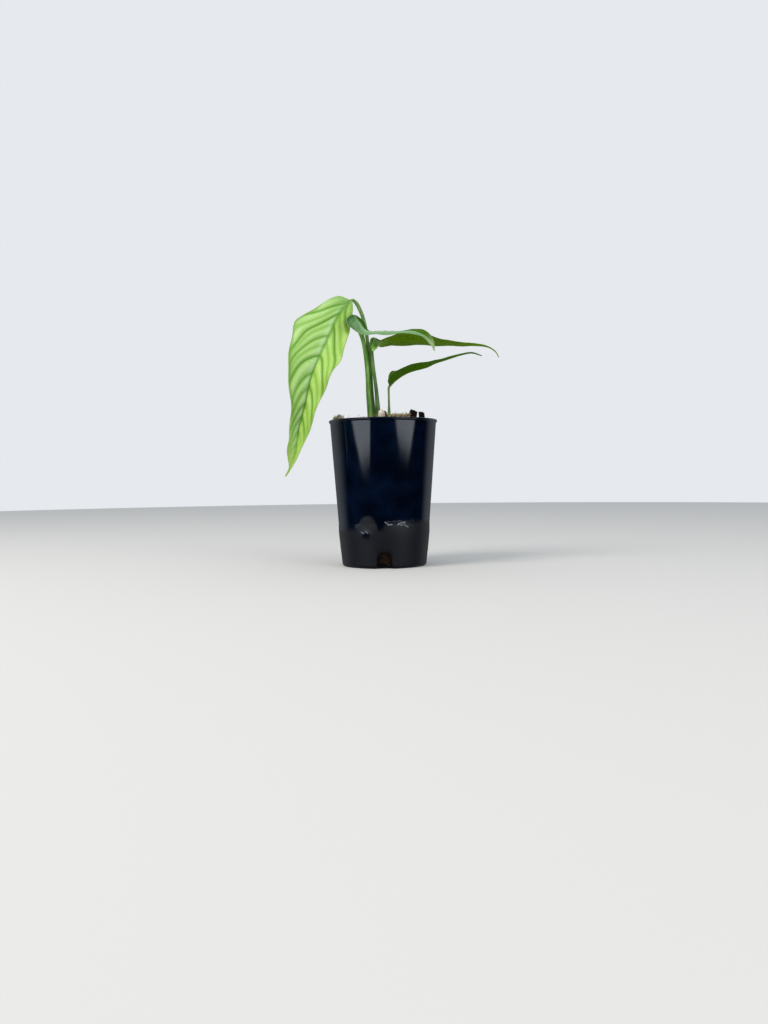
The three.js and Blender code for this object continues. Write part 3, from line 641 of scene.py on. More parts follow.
def bladeMaterial(name, look):
    fixed = {"Coat Weight": look["coat"], "Specular IOR Level": look["gloss"]}
    material, sheet = newMaterial(name, {**fixed, "Coat Roughness": 0.3, "IOR": 1.4})
    names = ("veinGap", "midribGap", "marginGap", "veinStrength", "along", "side", "upper")
    veinGap, midribGap, marginGap, strength, along, side, upper = [sheet.read(n) for n in names]
    spread = sheet.node("ShaderNodeUVMap", {"uv_map": "spread"})
    flat = sheet.vector("MULTIPLY", spread, (100.0, 100.0, 100.0))
    cloudy, fine = sheet.grain(flat, 9, 3), sheet.grain(flat, 1.1, 2)
    streaks = sheet.grain(flat, 1.3, 2, (0.16, 1.0, 1.0))
    # A net of fine veins, and the veins that the mesh carries
    warped = sheet.vector("ADD", flat, sheet.grain(flat, 2.5, 2)["Color"])
    cells = {"Vector": warped, "Scale": 0.62}
    netLine = 1 - sheet.node("ShaderNodeTexVoronoi", {"feature": "DISTANCE_TO_EDGE"}, cells).rise(0.0, 0.12)
    right = side.rise(-0.04, 0.04)
    vein = veinGap.bell(look["veinReach"]) * strength * marginGap.rise(0.0, 1.2) * (1 - along * 0.2)
    rib = midribGap.bell(look["midribReach"]) * (1 - along * 0.3)
    # A pale band beside the midrib, on the right half only, is a painted highlight
    beside = (midribGap - look["midribReach"] * 1.9).bell(look["besideReach"]) * right
    # Upper face: tissue, the paler ridges between its veins, which are a painted sheen, the veins, and what
    # differs along the blade
    between = (1 - veinGap.bell(look["veinReach"] * 2.6)) * (0.24 + cloudy * 0.76)
    # The hanging leaf's bluer right half and the curled leaf's paler right half are a painted sheen
    tissue = sheet.blend(right, look["left"], look["right"])
    body = sheet.blend(between.low(1.0), tissue, sheet.blend(right, look["leftRidge"], look["rightRidge"]))
    body = sheet.blend(streaks.rise(0.42, 0.72) * 0.22, body, tissue)
    late = along.rise(look["lateFrom"], look["lateFrom"] + 0.12) * (1 - right)
    # Painted shade in the lobe colour: darker lobes at the base, and a darker band inside the right margin
    lobe = (1 - along.rise(0.04, 0.2)) * (1 - marginGap.rise(0.8, 3.6)) * look["lobeDepth"]
    edgeShade = along.rise(0.08, 0.16) * (1 - along.rise(0.62, 0.75)) * right * look["edgeDepth"]
    lobe = lobe.top(edgeShade * (1 - marginGap.rise(0.7, 2.8)))
    body = sheet.cover(
        body, look, (netLine * 0.14, "vein"), (beside * look["besideDepth"], "beside"),
        (vein * look["veinDepth"], "vein"), (rib * 0.85, "midrib"), (late * 0.8, "late"), (lobe, "lobe"),
    )
    lined = veinGap.bell(look["veinReach"] * 0.8) * strength * look["underDepth"]
    under = sheet.cover(
        look["under"], look, (cloudy.rise(0.3, 0.75) * 0.35, "left"), (netLine * 0.16, "underVein"),
        ((lined + rib * 0.7).low(1.0), "underVein"),
    )
    # Both faces
    # On the hanging and curled leaves the paler tip is a painted light
    tip = along.rise(look["tipFrom"], look["tipFrom"] + 0.2) * 0.75
    # Towards the base the colour is a painted light on the long leaf's shaded base lobe and painted shade on
    # the curled leaf
    colour = sheet.cover(
        sheet.blend(upper, under, body), look, (tip, "tip"), ((1 - along.rise(0.0, 0.13)) * 0.65, "base"),
        ((1 - marginGap.rise(0.05, 0.55)) * 0.7, "margin"), (fine.rise(0.35, 0.8) * 0.1, "shade"),
    )
    roughness = look["roughness"] - 0.07 + fine * 0.14 + vein * 0.06 + (1 - right) * look["leftDull"]
    relief = fine * 0.25 + netLine * -0.35 + streaks * 0.3
    return dress(material, sheet, colour, roughness, relief, 0.00006)


leaves = {
    "hanging": (hangingLeaf, hangingLook, "pale_blade"),
    "long": (longLeaf, longLook, "dark_blade"),
    "curled": (curledLeaf, curledLook, "dark_blade"),
    "small": (smallLeaf, smallLook, "dark_blade"),
}
for name, (leaf, look, slot) in leaves.items():
    blade = newObject(f"blade_{name}", bladeMesh(f"blade_{name}", leaf), bladeMaterial(f"{name}Blade", look))
    hand(blade, slot, f"leaf_{name}")
    print("blade", name, len(blade.data.polygons))


def newTree(name, inputs):
    # A geometry tree with its named inputs, and the sheet to build it on
    tree = bpy.data.node_groups.new(name, "GeometryNodeTree")
    ways = [("Geometry", "INPUT", "Geometry"), *[(k, "INPUT", v) for k, v in inputs.items()]]
    for label, way, kind in (*ways, ("Geometry", "OUTPUT", "Geometry")):
        tree.interface.new_socket(label, in_out=way, socket_type=f"NodeSocket{kind}")
    sheet = Sheet(tree)
    return tree, sheet, sheet.node("NodeGroupInput")


def closeTree(sheet, shape, material):
    real = sheet.node("GeometryNodeRealizeInstances", {}, {"Geometry": shape})
    shaded = sheet.node("GeometryNodeSetMaterial", {}, {"Geometry": real, "Material": material})
    sheet.node("NodeGroupOutput", {}, {"Geometry": shaded})


def runTree(name, mesh, tree, values, material):
    made = newObject(name, mesh)
    modifier = made.modifiers.new(tree.name, "NODES")
    modifier.node_group = tree
    sockets = {s.name: s.identifier for s in tree.interface.items_tree if s.in_out == "INPUT"}
    for label, value in {**values, "Material": material}.items():
        modifier[sockets[label]] = value
    return settle(made, material)


# Stalks: round or channelled tubes along lines whose girth is stored on their points
stalkTree, sheet, given = newTree("stalks", {"Sides": "Int", "Channel": "Float", "Material": "Material"})
rail = sheet.node("GeometryNodeMeshToCurve", {}, {"Mesh": given["Geometry"]})
girth = sheet.node("GeometryNodeInputNamedAttribute", {"data_type": "FLOAT"}, {"Name": "girth"})
ring = sheet.node("GeometryNodeCurvePrimitiveCircle", {}, {"Resolution": given["Sides"], "Radius": 1.0})
ring = sheet.named(ring, "around", sheet.node("GeometryNodeSplineParameter"), "POINT")
x, y, z = sheet.axes(sheet.node("GeometryNodeInputPosition"))
hollow = given["Channel"] * y.top(0.0) ** 3 * (x * 2.2).bell(1.0)
sunk = sheet.node("ShaderNodeCombineXYZ", {}, {"X": x, "Y": y - hollow, "Z": z})
ring = sheet.node("GeometryNodeSetPosition", {}, {"Geometry": ring, "Position": sunk})
ends = {"Curve": rail, "Profile Curve": ring, "Scale": girth, "Fill Caps": True}
closeTree(sheet, sheet.node("GeometryNodeCurveToMesh", {}, ends), given["Material"])


def railMesh(name, lines):
    # Lines as (points, girths), in mm, each one a chain of edges
    spots, girths, edges, along = [], [], [], []
    for points, radii in lines:
        edges += [(len(spots) + i, len(spots) + i + 1) for i in range(len(points) - 1)]
        spots += list(points)
        girths += [r * mm for r in radii]
        along += list(np.linspace(0, 1, len(points)))
    mesh = newMesh(name, spots, [], edges)
    store(mesh, "girth", girths)
    store(mesh, "along", along)
    return mesh


# Petioles, with the lines and radii of the solids; each runs on under its blade's midrib as the rib does
petioles = {
    "hanging": {
        "path": [
            (-5.4, 1.6, 100.5), (-7, 1.6, 114), (-8.1, 1.7, 126), (-8.7, 1.9, 138), (-9.3, 2, 149),
            (-10.5, 2, 161), (-11.8, 2, 173), (-13.7, 1.4, 182), (-16.4, 0, 189), (-19, -1.6, 193.4),
            (-21.6, -3, 195.1),
        ],
        "radii": [(0, 2), (0.16, 1.75), (0.42, 1.5), (0.8, 1.4), (0.95, 1.55), (1, 1.2)],
        "colour": (94, 134, 54), "lit": (146, 184, 100), "line": (38, 70, 14), "foot": (168, 190, 88),
    },
    "long": {
        "path": [
            (-2.2, -2.3, 100.5), (-3.6, -1.8, 114), (-4.7, -1.9, 129), (-6.4, -2.5, 143.5),
            (-7.5, -3.2, 154), (-7.9, -3.6, 160.6), (-7.8, -3.7, 164), (-7.2, -3.8, 166.6),
        ],
        "radii": [(0, 2.1), (0.2, 1.85), (0.52, 1.35), (0.84, 1.35), (0.94, 1.6), (1, 1.1)],
        "colour": (78, 118, 48), "lit": (116, 156, 86), "line": (42, 74, 24), "foot": (164, 184, 96),
    },
    "curled": {
        "path": [
            (-9.3, -3.1, 100.5), (-9.7, -3.4, 113), (-10.5, -3.3, 125), (-10.9, -3.2, 138),
            (-11.7, -3.2, 150), (-13, -3.2, 160.5), (-14.6, -3, 168.4), (-16.8, -3.2, 174),
            (-18.8, -4.6, 178.8), (-19.6, -7.2, 181.4),
        ],
        "radii": [(0, 2.1), (0.16, 1.8), (0.48, 1.55), (0.74, 1.5), (0.86, 1.75), (1, 1.1)],
        "colour": (102, 156, 52), "lit": (148, 202, 104), "line": (52, 96, 20), "foot": (182, 204, 116),
    },
    "small": {
        "path": [(4.6, -2.8, 100.5), (4.6, -2.4, 111), (4.6, -2.6, 118), (4.5, -3.2, 124), (4.8, -4, 131.6)],
        "radii": [(0, 1.7), (0.28, 1.6), (0.4, 1.15), (0.58, 0.8), (0.85, 0.75), (1, 0.85)],
        "colour": (110, 140, 74), "lit": (146, 170, 104), "line": (70, 96, 42), "foot": (178, 182, 92),
    },
}
stalkForm = {
    "sides": 28, "channel": 0.3, "points": 90, "ribRun": [0.004, 0.03, 0.07, 0.13], "ribDrop": 0.5,
    "tipRadius": 0.3, "strands": 9, "foot": (106.0, 116.0),  # mm up, between which the pale foot ends
}


def petioleLine(stalk, leaf):
    under = Line(leaf["midrib"])
    places = np.array(stalkForm["ribRun"])
    forward = under.ahead(places)
    face = np.array(leaf["facing"][0], float)
    face = unit(face - (forward @ face)[:, None] * forward)
    run = under.at(places) - face * stalkForm["ribDrop"]
    whole = Line([*stalk["path"], *run])
    share = Line(stalk["path"]).length / whole.length
    places = np.linspace(0, 1, stalkForm["points"])
    end = stalk["radii"][-1][1]
    thinner = end + (stalkForm["tipRadius"] - end) * np.clip((places - share) / (1 - share), 0, 1)
    return whole.at(places), np.where(places < share, smoothAt(stalk["radii"], places / share), thinner)


def petioleMaterial(name, stalk):
    material, sheet = newMaterial(name, {"Coat Weight": 0.15, "Coat Roughness": 0.25, "IOR": 1.42})
    place = sheet.place()
    strands = sheet.grain(place, 0.8, 2, (1.0, 1.0, 0.05))
    fine = sheet.grain(place, 0.5, 2)
    blotch = sheet.grain(place, 5, 3, (1.0, 1.0, 0.4))
    turns = sheet.read("around") * (2 * math.pi * stalkForm["strands"])
    foot = 1 - sheet.axes(place)[2].rise(*stalkForm["foot"])
    colour = sheet.cover(
        stalk["colour"], stalk, (blotch.rise(0.35, 0.7), "lit"), (strands.rise(0.5, 0.72) * 0.6, "line"),
        (foot * (0.45 + strands * 0.5), "foot"), (fine.rise(0.55, 0.8) * 0.25, "line"),
    )
    relief = turns.reckon("SINE", turns) * 0.3 + strands * 0.7 + fine * 0.2
    return dress(material, sheet, colour, 0.34 + fine * 0.12 + sheet.read("along") * 0.04, relief, 0.00008)


for name, stalk in petioles.items():
    values = {"Sides": stalkForm["sides"], "Channel": stalkForm["channel"]}
    rail = railMesh(f"stalk_{name}", [petioleLine(stalk, leaves[name][0])])
    piece = runTree(f"stalk_{name}", rail, stalkTree, values, petioleMaterial(f"{name}Petiole", stalk))
    hand(piece, "petiole", f"petiole_{name}")
    print("petiole", name, len(piece.data.polygons))


def seeded(seed):
    # Numbers that follow a seed, the same ones as in the solids
    state = [seed]

    def draw():
        state[0] = (state[0] + 0x6D2B79F5) & 0xFFFFFFFF
        t = ((state[0] ^ (state[0] >> 15)) * (1 | state[0])) & 0xFFFFFFFF
        t = ((t + (((t ^ (t >> 7)) * (61 | t)) & 0xFFFFFFFF)) ^ t) & 0xFFFFFFFF
        return (t ^ (t >> 14)) / 4294967296

    return draw


# Pot: the solid's outline with a finer lip, a ledge at each side of its low band, and arches at its foot
potForm = {
    "height": 107, "lipRadius": 40, "lipHeight": 1.8, "lipEdge": 0.5, "throatRadius": 39.2,
    "bandRadius": 33.7, "bandLow": 24, "bandHigh": 30.5, "bandProud": 0.14, "footRadius": 31.6,
    "footRounding": 2.2, "wall": 1.1, "floor": 1.8, "turns": 192,
    "archWidth": 11.4, "archHeight": 12, "archReach": 26, "archSoftness": 0.25, "sharpFrom": 50,
}
potLook = {
    "plastic": (1, 6, 19), "haze": (5, 19, 41), "dust": (24, 24, 31), "mud": (32, 27, 20),
    "smear": (160, 164, 172), "dots": (110, 108, 104), "lip": (46, 56, 62), "gloss": 0.045, "dull": 0.5,
    # In mm: the dust's height, its slope and its soft edge, and where the front, the browner sides and the
    # lip's painted reflection set in
    "tide": 29.0, "slope": 0.04, "dustEdge": (-4.0, 2.8), "front": (-8.0, 6.0), "mudSides": (22.0, 34.0),
    "lipFrom": (104.6, 105.2), "lipSides": (27.0, 38.0), "strokeReach": 0.36,
    "rise": (-11.8, 7.2, 8.4),  # where the dust reaches up: its place, its width and how much higher, in mm
    "step": (-2.8, 3.0, 4.4),  # and where it stays higher, towards the right
    "strokes": [  # thin pale smears: where each begins and ends, and its strength
        ((0.9, 33.3), (3.2, 31.4), 1.0), ((3.2, 31.4), (5.4, 31.7), 0.9), ((9.6, 31.5), (12.2, 32.8), 1.0),
        ((12.2, 32.8), (14.8, 33.0), 0.9), ((11.8, 31.0), (13.4, 31.9), 0.7),
        # The last two strokes, at the rubbed patch, are a painted glint on its clean plastic
        ((14.4, 31.3), (16.8, 29.6), 0.75), ((-16.4, 26.4), (-14.6, 25.2), 0.55),
        ((-13.2, 26.6), (-11.9, 25.8), 0.5),
    ],
    "spot": (-12.9, 24.3, 4.2),  # a patch that was rubbed clean: its place and its width
}


def arc(r, z, wide, tall, start, end, count):
    # Points of an arc about (r, z), by angles from the outward direction
    angles = np.radians(np.linspace(start, end, count))
    return [(r + wide * math.cos(a), z + tall * math.sin(a)) for a in angles]


def potOutline():
    p = potForm
    low, high, proud, edge = p["bandLow"], p["bandHigh"], p["bandProud"], p["lipEdge"]
    rounding, lipRadius, top = p["footRounding"], p["lipRadius"], p["height"]
    lipLow, footTop = top - p["lipHeight"], p["floor"] + rounding
    foot = arc(p["footRadius"] - rounding, rounding, rounding, rounding, -90, 0, 9)
    wall = [foot[-1], (p["bandRadius"] - 0.1, low), (p["bandRadius"], high), (p["throatRadius"], lipLow)]

    def outer(z):
        return float(np.interp(z, [k[1] for k in wall], [k[0] for k in wall]))

    def inner(z):
        # Above the wall's top it goes on at the slope of its last stretch
        slope = (wall[3][0] - wall[2][0]) / (wall[3][1] - wall[2][1])
        return outer(z) + slope * max(0, z - lipLow) - p["wall"]

    ledge = ((low - 9, 0), (low - 4, 1 / 3), (low + 1, 1), (high - 1, 1), (high, 0.8), (high + 0.5, 0))
    band = [(outer(z) + proud * part, z) for z, part in ledge]
    climb = [(outer(z), z) for z in np.linspace(high + 2, lipLow - 0.4, 12)]
    lip = [(outer(lipLow), lipLow), (lipRadius - edge * 0.6, lipLow + 0.04)]
    lip += arc(lipRadius - edge, lipLow + 0.05 + edge, edge, edge, -90, 0, 6)
    lip += arc(lipRadius - edge, top - edge, edge, edge, 0, 90, 6)
    lip += arc(inner(top) + edge, top - edge, edge, edge, 90, 180, 6)
    down = [(inner(z), z) for z in (lipLow, 90, 70, 50, high, low, 14, footTop)]
    corner = arc(inner(footTop) - rounding / 2, footTop, rounding / 2, rounding, -15, -90, 5)
    return [(0, 0), *foot, *band, *climb, *lip, *down, *corner, (0, p["floor"])], inner


outline, innerRadius = potOutline()


def lathe(name, pairs, turns):
    # A closed shell turned about the vertical axis from pairs of a radius and a height
    spots, rings = [], []
    for radius, z in pairs:
        count = turns if radius else 1
        rings.append([len(spots) + j % count for j in range(turns)])
        spots += [(x, y, z) for x, y in circle(radius, count)]
    return ringMesh(name, spots, rings)


def archCutter():
    p = potForm
    half, top = p["archWidth"] / 2, p["archHeight"]
    spring = top - half * 0.8
    # One side of the arch, as a curve from its spring to its crown
    bend = []
    for t in np.linspace(0, 1, 13):
        x = (1 - t) ** 2 * half * 0.94 + 2 * t * (1 - t) * half * 0.86
        bend.append((x, (1 - t) ** 2 * spring + (2 - t) * t * top))
    shape = [(half, -1), *bend, *[(-x, z) for x, z in bend[-2::-1]], (-half, -1)]
    count = len(shape)
    spots, faces = [], []
    for k in range(4):
        turn = Matrix.Rotation(k * math.pi / 2, 4, "Z")
        first = len(spots)
        for reach in (p["archReach"], p["lipRadius"]):
            spots += [turn @ Vector((x, -reach, z)) for x, z in shape]
        near, far = range(first, first + count), range(first + count, first + 2 * count)
        faces += [list(near), list(far)[::-1]]
        faces += [[near[i], near[i - 1], far[i - 1], far[i]] for i in range(count)]
    return newObject("archCutter", outward(newMesh("archCutter", spots, faces)), smooth=False)


def outward(mesh):
    # The mesh with all its faces turned outward
    bm = bmesh.new()
    bm.from_mesh(mesh)
    bmesh.ops.recalc_face_normals(bm, faces=bm.faces)
    bm.to_mesh(mesh)
    bm.free()
    return mesh


def potMaterial():
    look = potLook
    material, sheet = newMaterial("pottedPlastic", {"IOR": 1.5, "Coat Roughness": 0.08})
    place = sheet.place()
    x, y, z = sheet.axes(place)
    front = 1 - y.rise(*look["front"])
    wander = sheet.grain(place, 7, 3, (1.0, 1.0, 0.35))
    cloudy, fine, broken = sheet.grain(place, 14, 4), sheet.grain(place, 0.9, 3), sheet.grain(place, 1.4, 3)
    # Dust up to a tide line, with a patch that was rubbed clean, and browner towards the sides
    riseAt, riseReach, riseHeight = look["rise"]
    stepStart, stepEnd, stepHeight = look["step"]
    spotX, spotZ, spotReach = look["spot"]
    tide = (1 - ((x - riseAt) / riseReach) ** 2).top(0.0) ** 0.5 * riseHeight
    tide = tide + x.rise(stepStart, stepEnd) * stepHeight + x * look["slope"]
    tide = tide * front + (1 - front) * (cloudy * 10.0) + look["tide"] + wander * 3.0 - 1.5
    rubbed = (((x - spotX) ** 2 + (z - spotZ) ** 2) ** 0.5 + wander * 3.0 - 1.5).bell(spotReach)
    dusty = (1 - (z - tide).rise(*look["dustEdge"])) * (1 - rubbed * front * 0.95)
    colour = sheet.blend(cloudy.rise(0.35, 0.75) * 0.8, look["plastic"], look["haze"])
    browner = abs(x).rise(*look["mudSides"]) * dusty * 0.7
    dust = sheet.cover(look["dust"], look, (browner, "mud"), (fine.rise(0.3, 0.75) * 0.4, "plastic"))
    rim = (z - tide).bell(0.3) * front * wander.rise(0.4, 0.6) * x.rise(-1.0, 3.0)
    # Thin pale smears of residue, of which the two at the rubbed patch are a painted glint
    smear = 0.0
    for (ax, az), (bx, bz), strength in look["strokes"]:
        run = (bx - ax) ** 2 + (bz - az) ** 2
        t = ((x - ax) * ((bx - ax) / run) + (z - az) * ((bz - az) / run)).top(0.0).low(1.0)
        away = ((x - ax - t * (bx - ax)) ** 2 + (z - az - t * (bz - az)) ** 2) ** 0.5
        stroke = (away + broken * 1.4 - 0.7).bell(look["strokeReach"]) * front
        smear = (stroke * (0.2 + broken * 1.6) * strength).top(smear)
    dots = sheet.grain(place, 0.55, 1).rise(0.76, 0.8) * (dusty * 0.6 + 0.15)
    # Painted reflection: the lip is lighter towards the sides
    lip = z.rise(*look["lipFrom"]) * abs(x).rise(*look["lipSides"])
    colour = sheet.cover(
        sheet.blend(dusty * 0.92, colour, dust), look, (rim * 0.16, "smear"),
        ((smear * 0.8).low(1.0), "smear"), (dots, "dots"), (lip, "lip"),
    )
    gloss, dull = look["gloss"], look["dull"]
    roughness = gloss + cloudy * 0.02 + dusty * (dull - gloss - fine * 0.12) + smear * 0.3
    return dress(material, sheet, colour, roughness, fine * 0.3 + wander * 0.7, 0.00002)


potShell = newObject("tube_pot", lathe("tube_pot", outline, potForm["turns"]))
cutter = archCutter()
cut = potShell.modifiers.new("arches", "BOOLEAN")
cut.operation = "DIFFERENCE"
cut.solver = "EXACT"
cut.object = cutter
soften = potShell.modifiers.new("soften", "BEVEL")
soften.width = potForm["archSoftness"] * mm
soften.segments = 2
soften.limit_method = "ANGLE"
soften.angle_limit = math.radians(potForm["sharpFrom"])
potPiece = settle(potShell, potMaterial(), creases=40)
bpy.data.objects.remove(cutter)
hand(potPiece, "pot", "pot")
print("pot", len(potPiece.data.polygons))


# Bark mix: the bed, the chips and nuggets of the solids in finer form, crumbs, moss strands and hairs
mixForm = {
    "level": 104.2, "mound": 2.4, "moundCentre": (6, -8), "moundReach": 22, "ripple": 0.7, "slack": 0.5,
    "turns": 120, "rings": 34, "seed": 11, "barkCount": 24, "perliteCount": 7, "length": (4, 9),
    "thickness": (1.6, 3.2), "tilt": (-28, 28), "turnStep": 137.5,
    # Placed pieces: kind, place, size, turn and tone, which is 0 for dark bark and 1 for pale
    "placed": [
        ("perlite", (-0.9, -26, 109.3), (4.6, 4.4, 7.4), (8, 0, 20), 0.5),
        ("bark", (2.1, -25.5, 108.2), (2.6, 3, 8), (0, -14, 10), 0.55),
        ("bark", (20.9, -19, 107.8), (6, 5, 8.6), (0, 14, 18), 0.05),
        ("bark", (28.2, -15.5, 107.6), (3.4, 4, 8), (4, -6, -20), 0.02),
        ("bark", (-32.6, -10, 106.8), (7, 5, 4.4), (4, 6, 24), 0.95),
        ("bark", (9.6, -22, 107.3), (7, 4, 4.4), (10, 4, -14), 0.8),
        ("bark", (15.6, -21.5, 107.6), (5.6, 4, 4.6), (-8, -6, 22), 0.84),
        ("perlite", (-26, -18, 105.6), (4, 4, 4), (0, 30, 40), 0.5),
    ],
    # Moss on the placed chips: x, y and radius, and its height
    "tufts": [(9.2, -22.4, 3.0), (13.4, -21.8, 3.2), (17.2, -20.8, 2.4), (-31.6, -12, 2.8)],
    "tuftLevel": 109.0,
    "floorGap": 0.4, "rimDrop": 0.8, "rimReach": 0.6, "chipGap": 0.3,  # between the mix and the pot
}
mixLook = {
    "bark": [
        (0.0, (16, 11, 9)), (0.3, (48, 32, 23)), (0.6, (96, 66, 42)), (0.8, (158, 128, 90)),
        (1.0, (206, 186, 152)),
    ],
    "shadow": (14, 9, 7), "shadowBelow": (2.0, 26.0), "perlite": (232, 220, 202),
    "perliteShade": (186, 168, 144), "pits": (150, 130, 104), "moss": (208, 194, 160),
    "mossTip": (140, 132, 84),
}


def mixHeight(x, y):
    cx, cy = mixForm["moundCentre"]
    away = np.hypot(x - cx, y - cy) / mixForm["moundReach"]
    ripple = np.sin(x * 0.55 + 1) * np.cos(y * 0.48) + 0.6 * np.sin(x * 1.1 - y * 0.9)
    return float(mixForm["level"] + mixForm["mound"] * np.exp(-away * away) + mixForm["ripple"] * ripple)


def barkMaterial():
    material, sheet = newMaterial("bark", {"IOR": 1.45, "Specular IOR Level": 0.12})
    place = sheet.place()
    layers = sheet.grain(place, 1.5, 4, (0.5, 0.5, 2.6))
    crumbs = sheet.grain(place, 0.5, 3)
    shade = (sheet.read("tone") + layers * 0.5 - 0.25 + crumbs * 0.16 - 0.08).top(0.0).low(1.0)
    colour = sheet.node("ShaderNodeValToRGB", {"stops": mixLook["bark"]}, {"Fac": shade})
    dark = (1 - layers.rise(0.32, 0.5)) * 0.6
    depth = (1 - sheet.axes(place)[2].rise(*mixLook["shadowBelow"])) * 0.35
    colour = sheet.blend(dark.top(depth), colour, mixLook["shadow"])
    return dress(material, sheet, colour, 0.92 - crumbs * 0.12, layers * 0.7 + crumbs * 0.3, 0.0005)


def perliteMaterial():
    material, sheet = newMaterial("perlite", {"IOR": 1.4, "Specular IOR Level": 0.25})
    place = sheet.place()
    pits = sheet.node("ShaderNodeTexVoronoi", {"feature": "SMOOTH_F1"}, {"Vector": place, "Scale": 2.1})
    fine, stain = sheet.grain(place, 0.35, 3), sheet.grain(place, 2.4, 3)
    layers = (stain.rise(0.45, 0.75), "perliteShade"), ((1 - pits.rise(0.1, 0.4)) * 0.3, "pits")
    colour = sheet.cover(mixLook["perlite"], mixLook, *layers)
    return dress(material, sheet, colour, 0.8 + fine * 0.15, pits * 0.7 + fine * 0.3, 0.00045)


def mossMaterial():
    material, sheet = newMaterial("moss", {"Specular IOR Level": 0.3})
    fine = sheet.grain(sheet.place(), 0.6, 3)
    tip = (sheet.read("tone") * 0.7 + fine * 0.4).low(1.0)
    colour = sheet.blend(tip, mixLook["moss"], mixLook["mossTip"])
    return dress(material, sheet, colour, 0.75 + fine * 0.2, fine, 0.0001)


def bedMesh():
    # The mix as a closed lump that fills the pot, with a crumbly surface
    turns, slack, rings = mixForm["turns"], mixForm["slack"], mixForm["rings"]
    floor = potForm["floor"] + mixForm["floorGap"]
    footTop = floor + potForm["footRounding"]
    edge = innerRadius(mixForm["level"]) - slack
    profile = [(20, floor), (innerRadius(footTop) - 2.4, floor + 0.1)]
    heights = (footTop, 6, 8, 10, 12, 14, 20, 24, 30.5, 50, 70, 90, 100)
    profile += [(innerRadius(z) - slack, z) for z in heights]
    profile += [(edge * k / rings, None) for k in range(rings, 0, -1)]
    spots, loops = [(0, 0, floor)], [[0] * turns]
    for radius, height in profile:
        loops.append(range(len(spots), len(spots) + turns))
        for x, y in circle(radius, turns):
            if height is None:
                lump = noise.fractal(Vector((x * 0.35, y * 0.35, 3)), 0.9, 2.1, 4) * 0.7
                drop = mixForm["rimDrop"] if radius > edge - mixForm["rimReach"] else 0
                spots.append((x, y, mixHeight(x, y) + lump - drop))
            else:
                dent = noise.fractal(Vector((x * 0.5, y * 0.5, height * 0.5)), 0.9, 2.1, 3) * 0.35 - 0.35
                spots.append((x * (1 + dent / radius), y * (1 + dent / radius), height))
    loops.append([len(spots)] * turns)
    spots.append((0, 0, mixHeight(0.0, 0.0)))
    mesh = ringMesh("bark_bed", spots, loops)
    store(mesh, "tone", [0.22 + 0.16 * noise.noise(Vector(s) * 0.2) for s in spots])
    return mesh


def addLump(kind, corners, size, turn, at, tone, parcel):
    # One chip with layered, worn faces, or one pitted nugget, added to the parcel
    bm = bmesh.new()
    if kind == "bark":
        box = [(x, y, z * x) for x in (1, -1) for y in (1, -1) for z in (1, -1)]
        verts = [bm.verts.new(Vector(c) * 0.5 + Vector(d)) for c, d in zip(box, corners)]
        for f in ((0, 2, 3, 1), (4, 6, 7, 5), (0, 1, 4, 5), (2, 7, 6, 3), (0, 5, 7, 2), (1, 3, 6, 4)):
            bm.faces.new([verts[i] for i in f])
        bmesh.ops.subdivide_edges(bm, edges=bm.edges, cuts=6, use_grid_fill=True)
        axes = {f"use_axis_{axis}": True for axis in "xyz"}
        bmesh.ops.smooth_vert(bm, verts=bm.verts, factor=0.5, **axes)
    else:
        bmesh.ops.create_icosphere(bm, subdivisions=3, radius=0.55)
    bmesh.ops.recalc_face_normals(bm, faces=bm.faces)
    bm.normal_update()
    seat = Vector(at)
    pose = Matrix.Translation(seat) @ Euler([math.radians(a) for a in turn], "ZYX").to_matrix().to_4x4()
    reach = innerRadius(mixForm["level"]) - mixForm["chipGap"]
    first = len(parcel["spots"])
    for v in bm.verts:
        spot = Vector([a * b for a, b in zip(v.co, Vector(size))])
        if kind == "bark":
            flake = math.sin(spot.z * 5.2 + 2 * noise.noise(spot * 0.4 + seat)) * 0.13
            rough = noise.fractal(spot * 0.55 + seat, 0.8, 2.1, 4) * 0.62 - 0.12
        else:
            flake = -0.16 * max(0, noise.noise(spot * 1.5 + seat)) * 2
            rough = noise.fractal(spot * 0.5 + seat, 0.9, 2.1, 3) * 0.4
        spot = pose @ (spot + v.normal * (flake + rough - 0.06))
        # Nothing reaches past the pot's wall
        pull = min(1, reach / max(math.hypot(spot.x, spot.y), 1e-9))
        parcel["spots"].append((spot.x * pull, spot.y * pull, spot.z))
        parcel["tones"].append(tone)
    bm.verts.index_update()
    parcel["faces"] += [[first + v.index for v in f.verts] for f in bm.faces]
    bm.free()


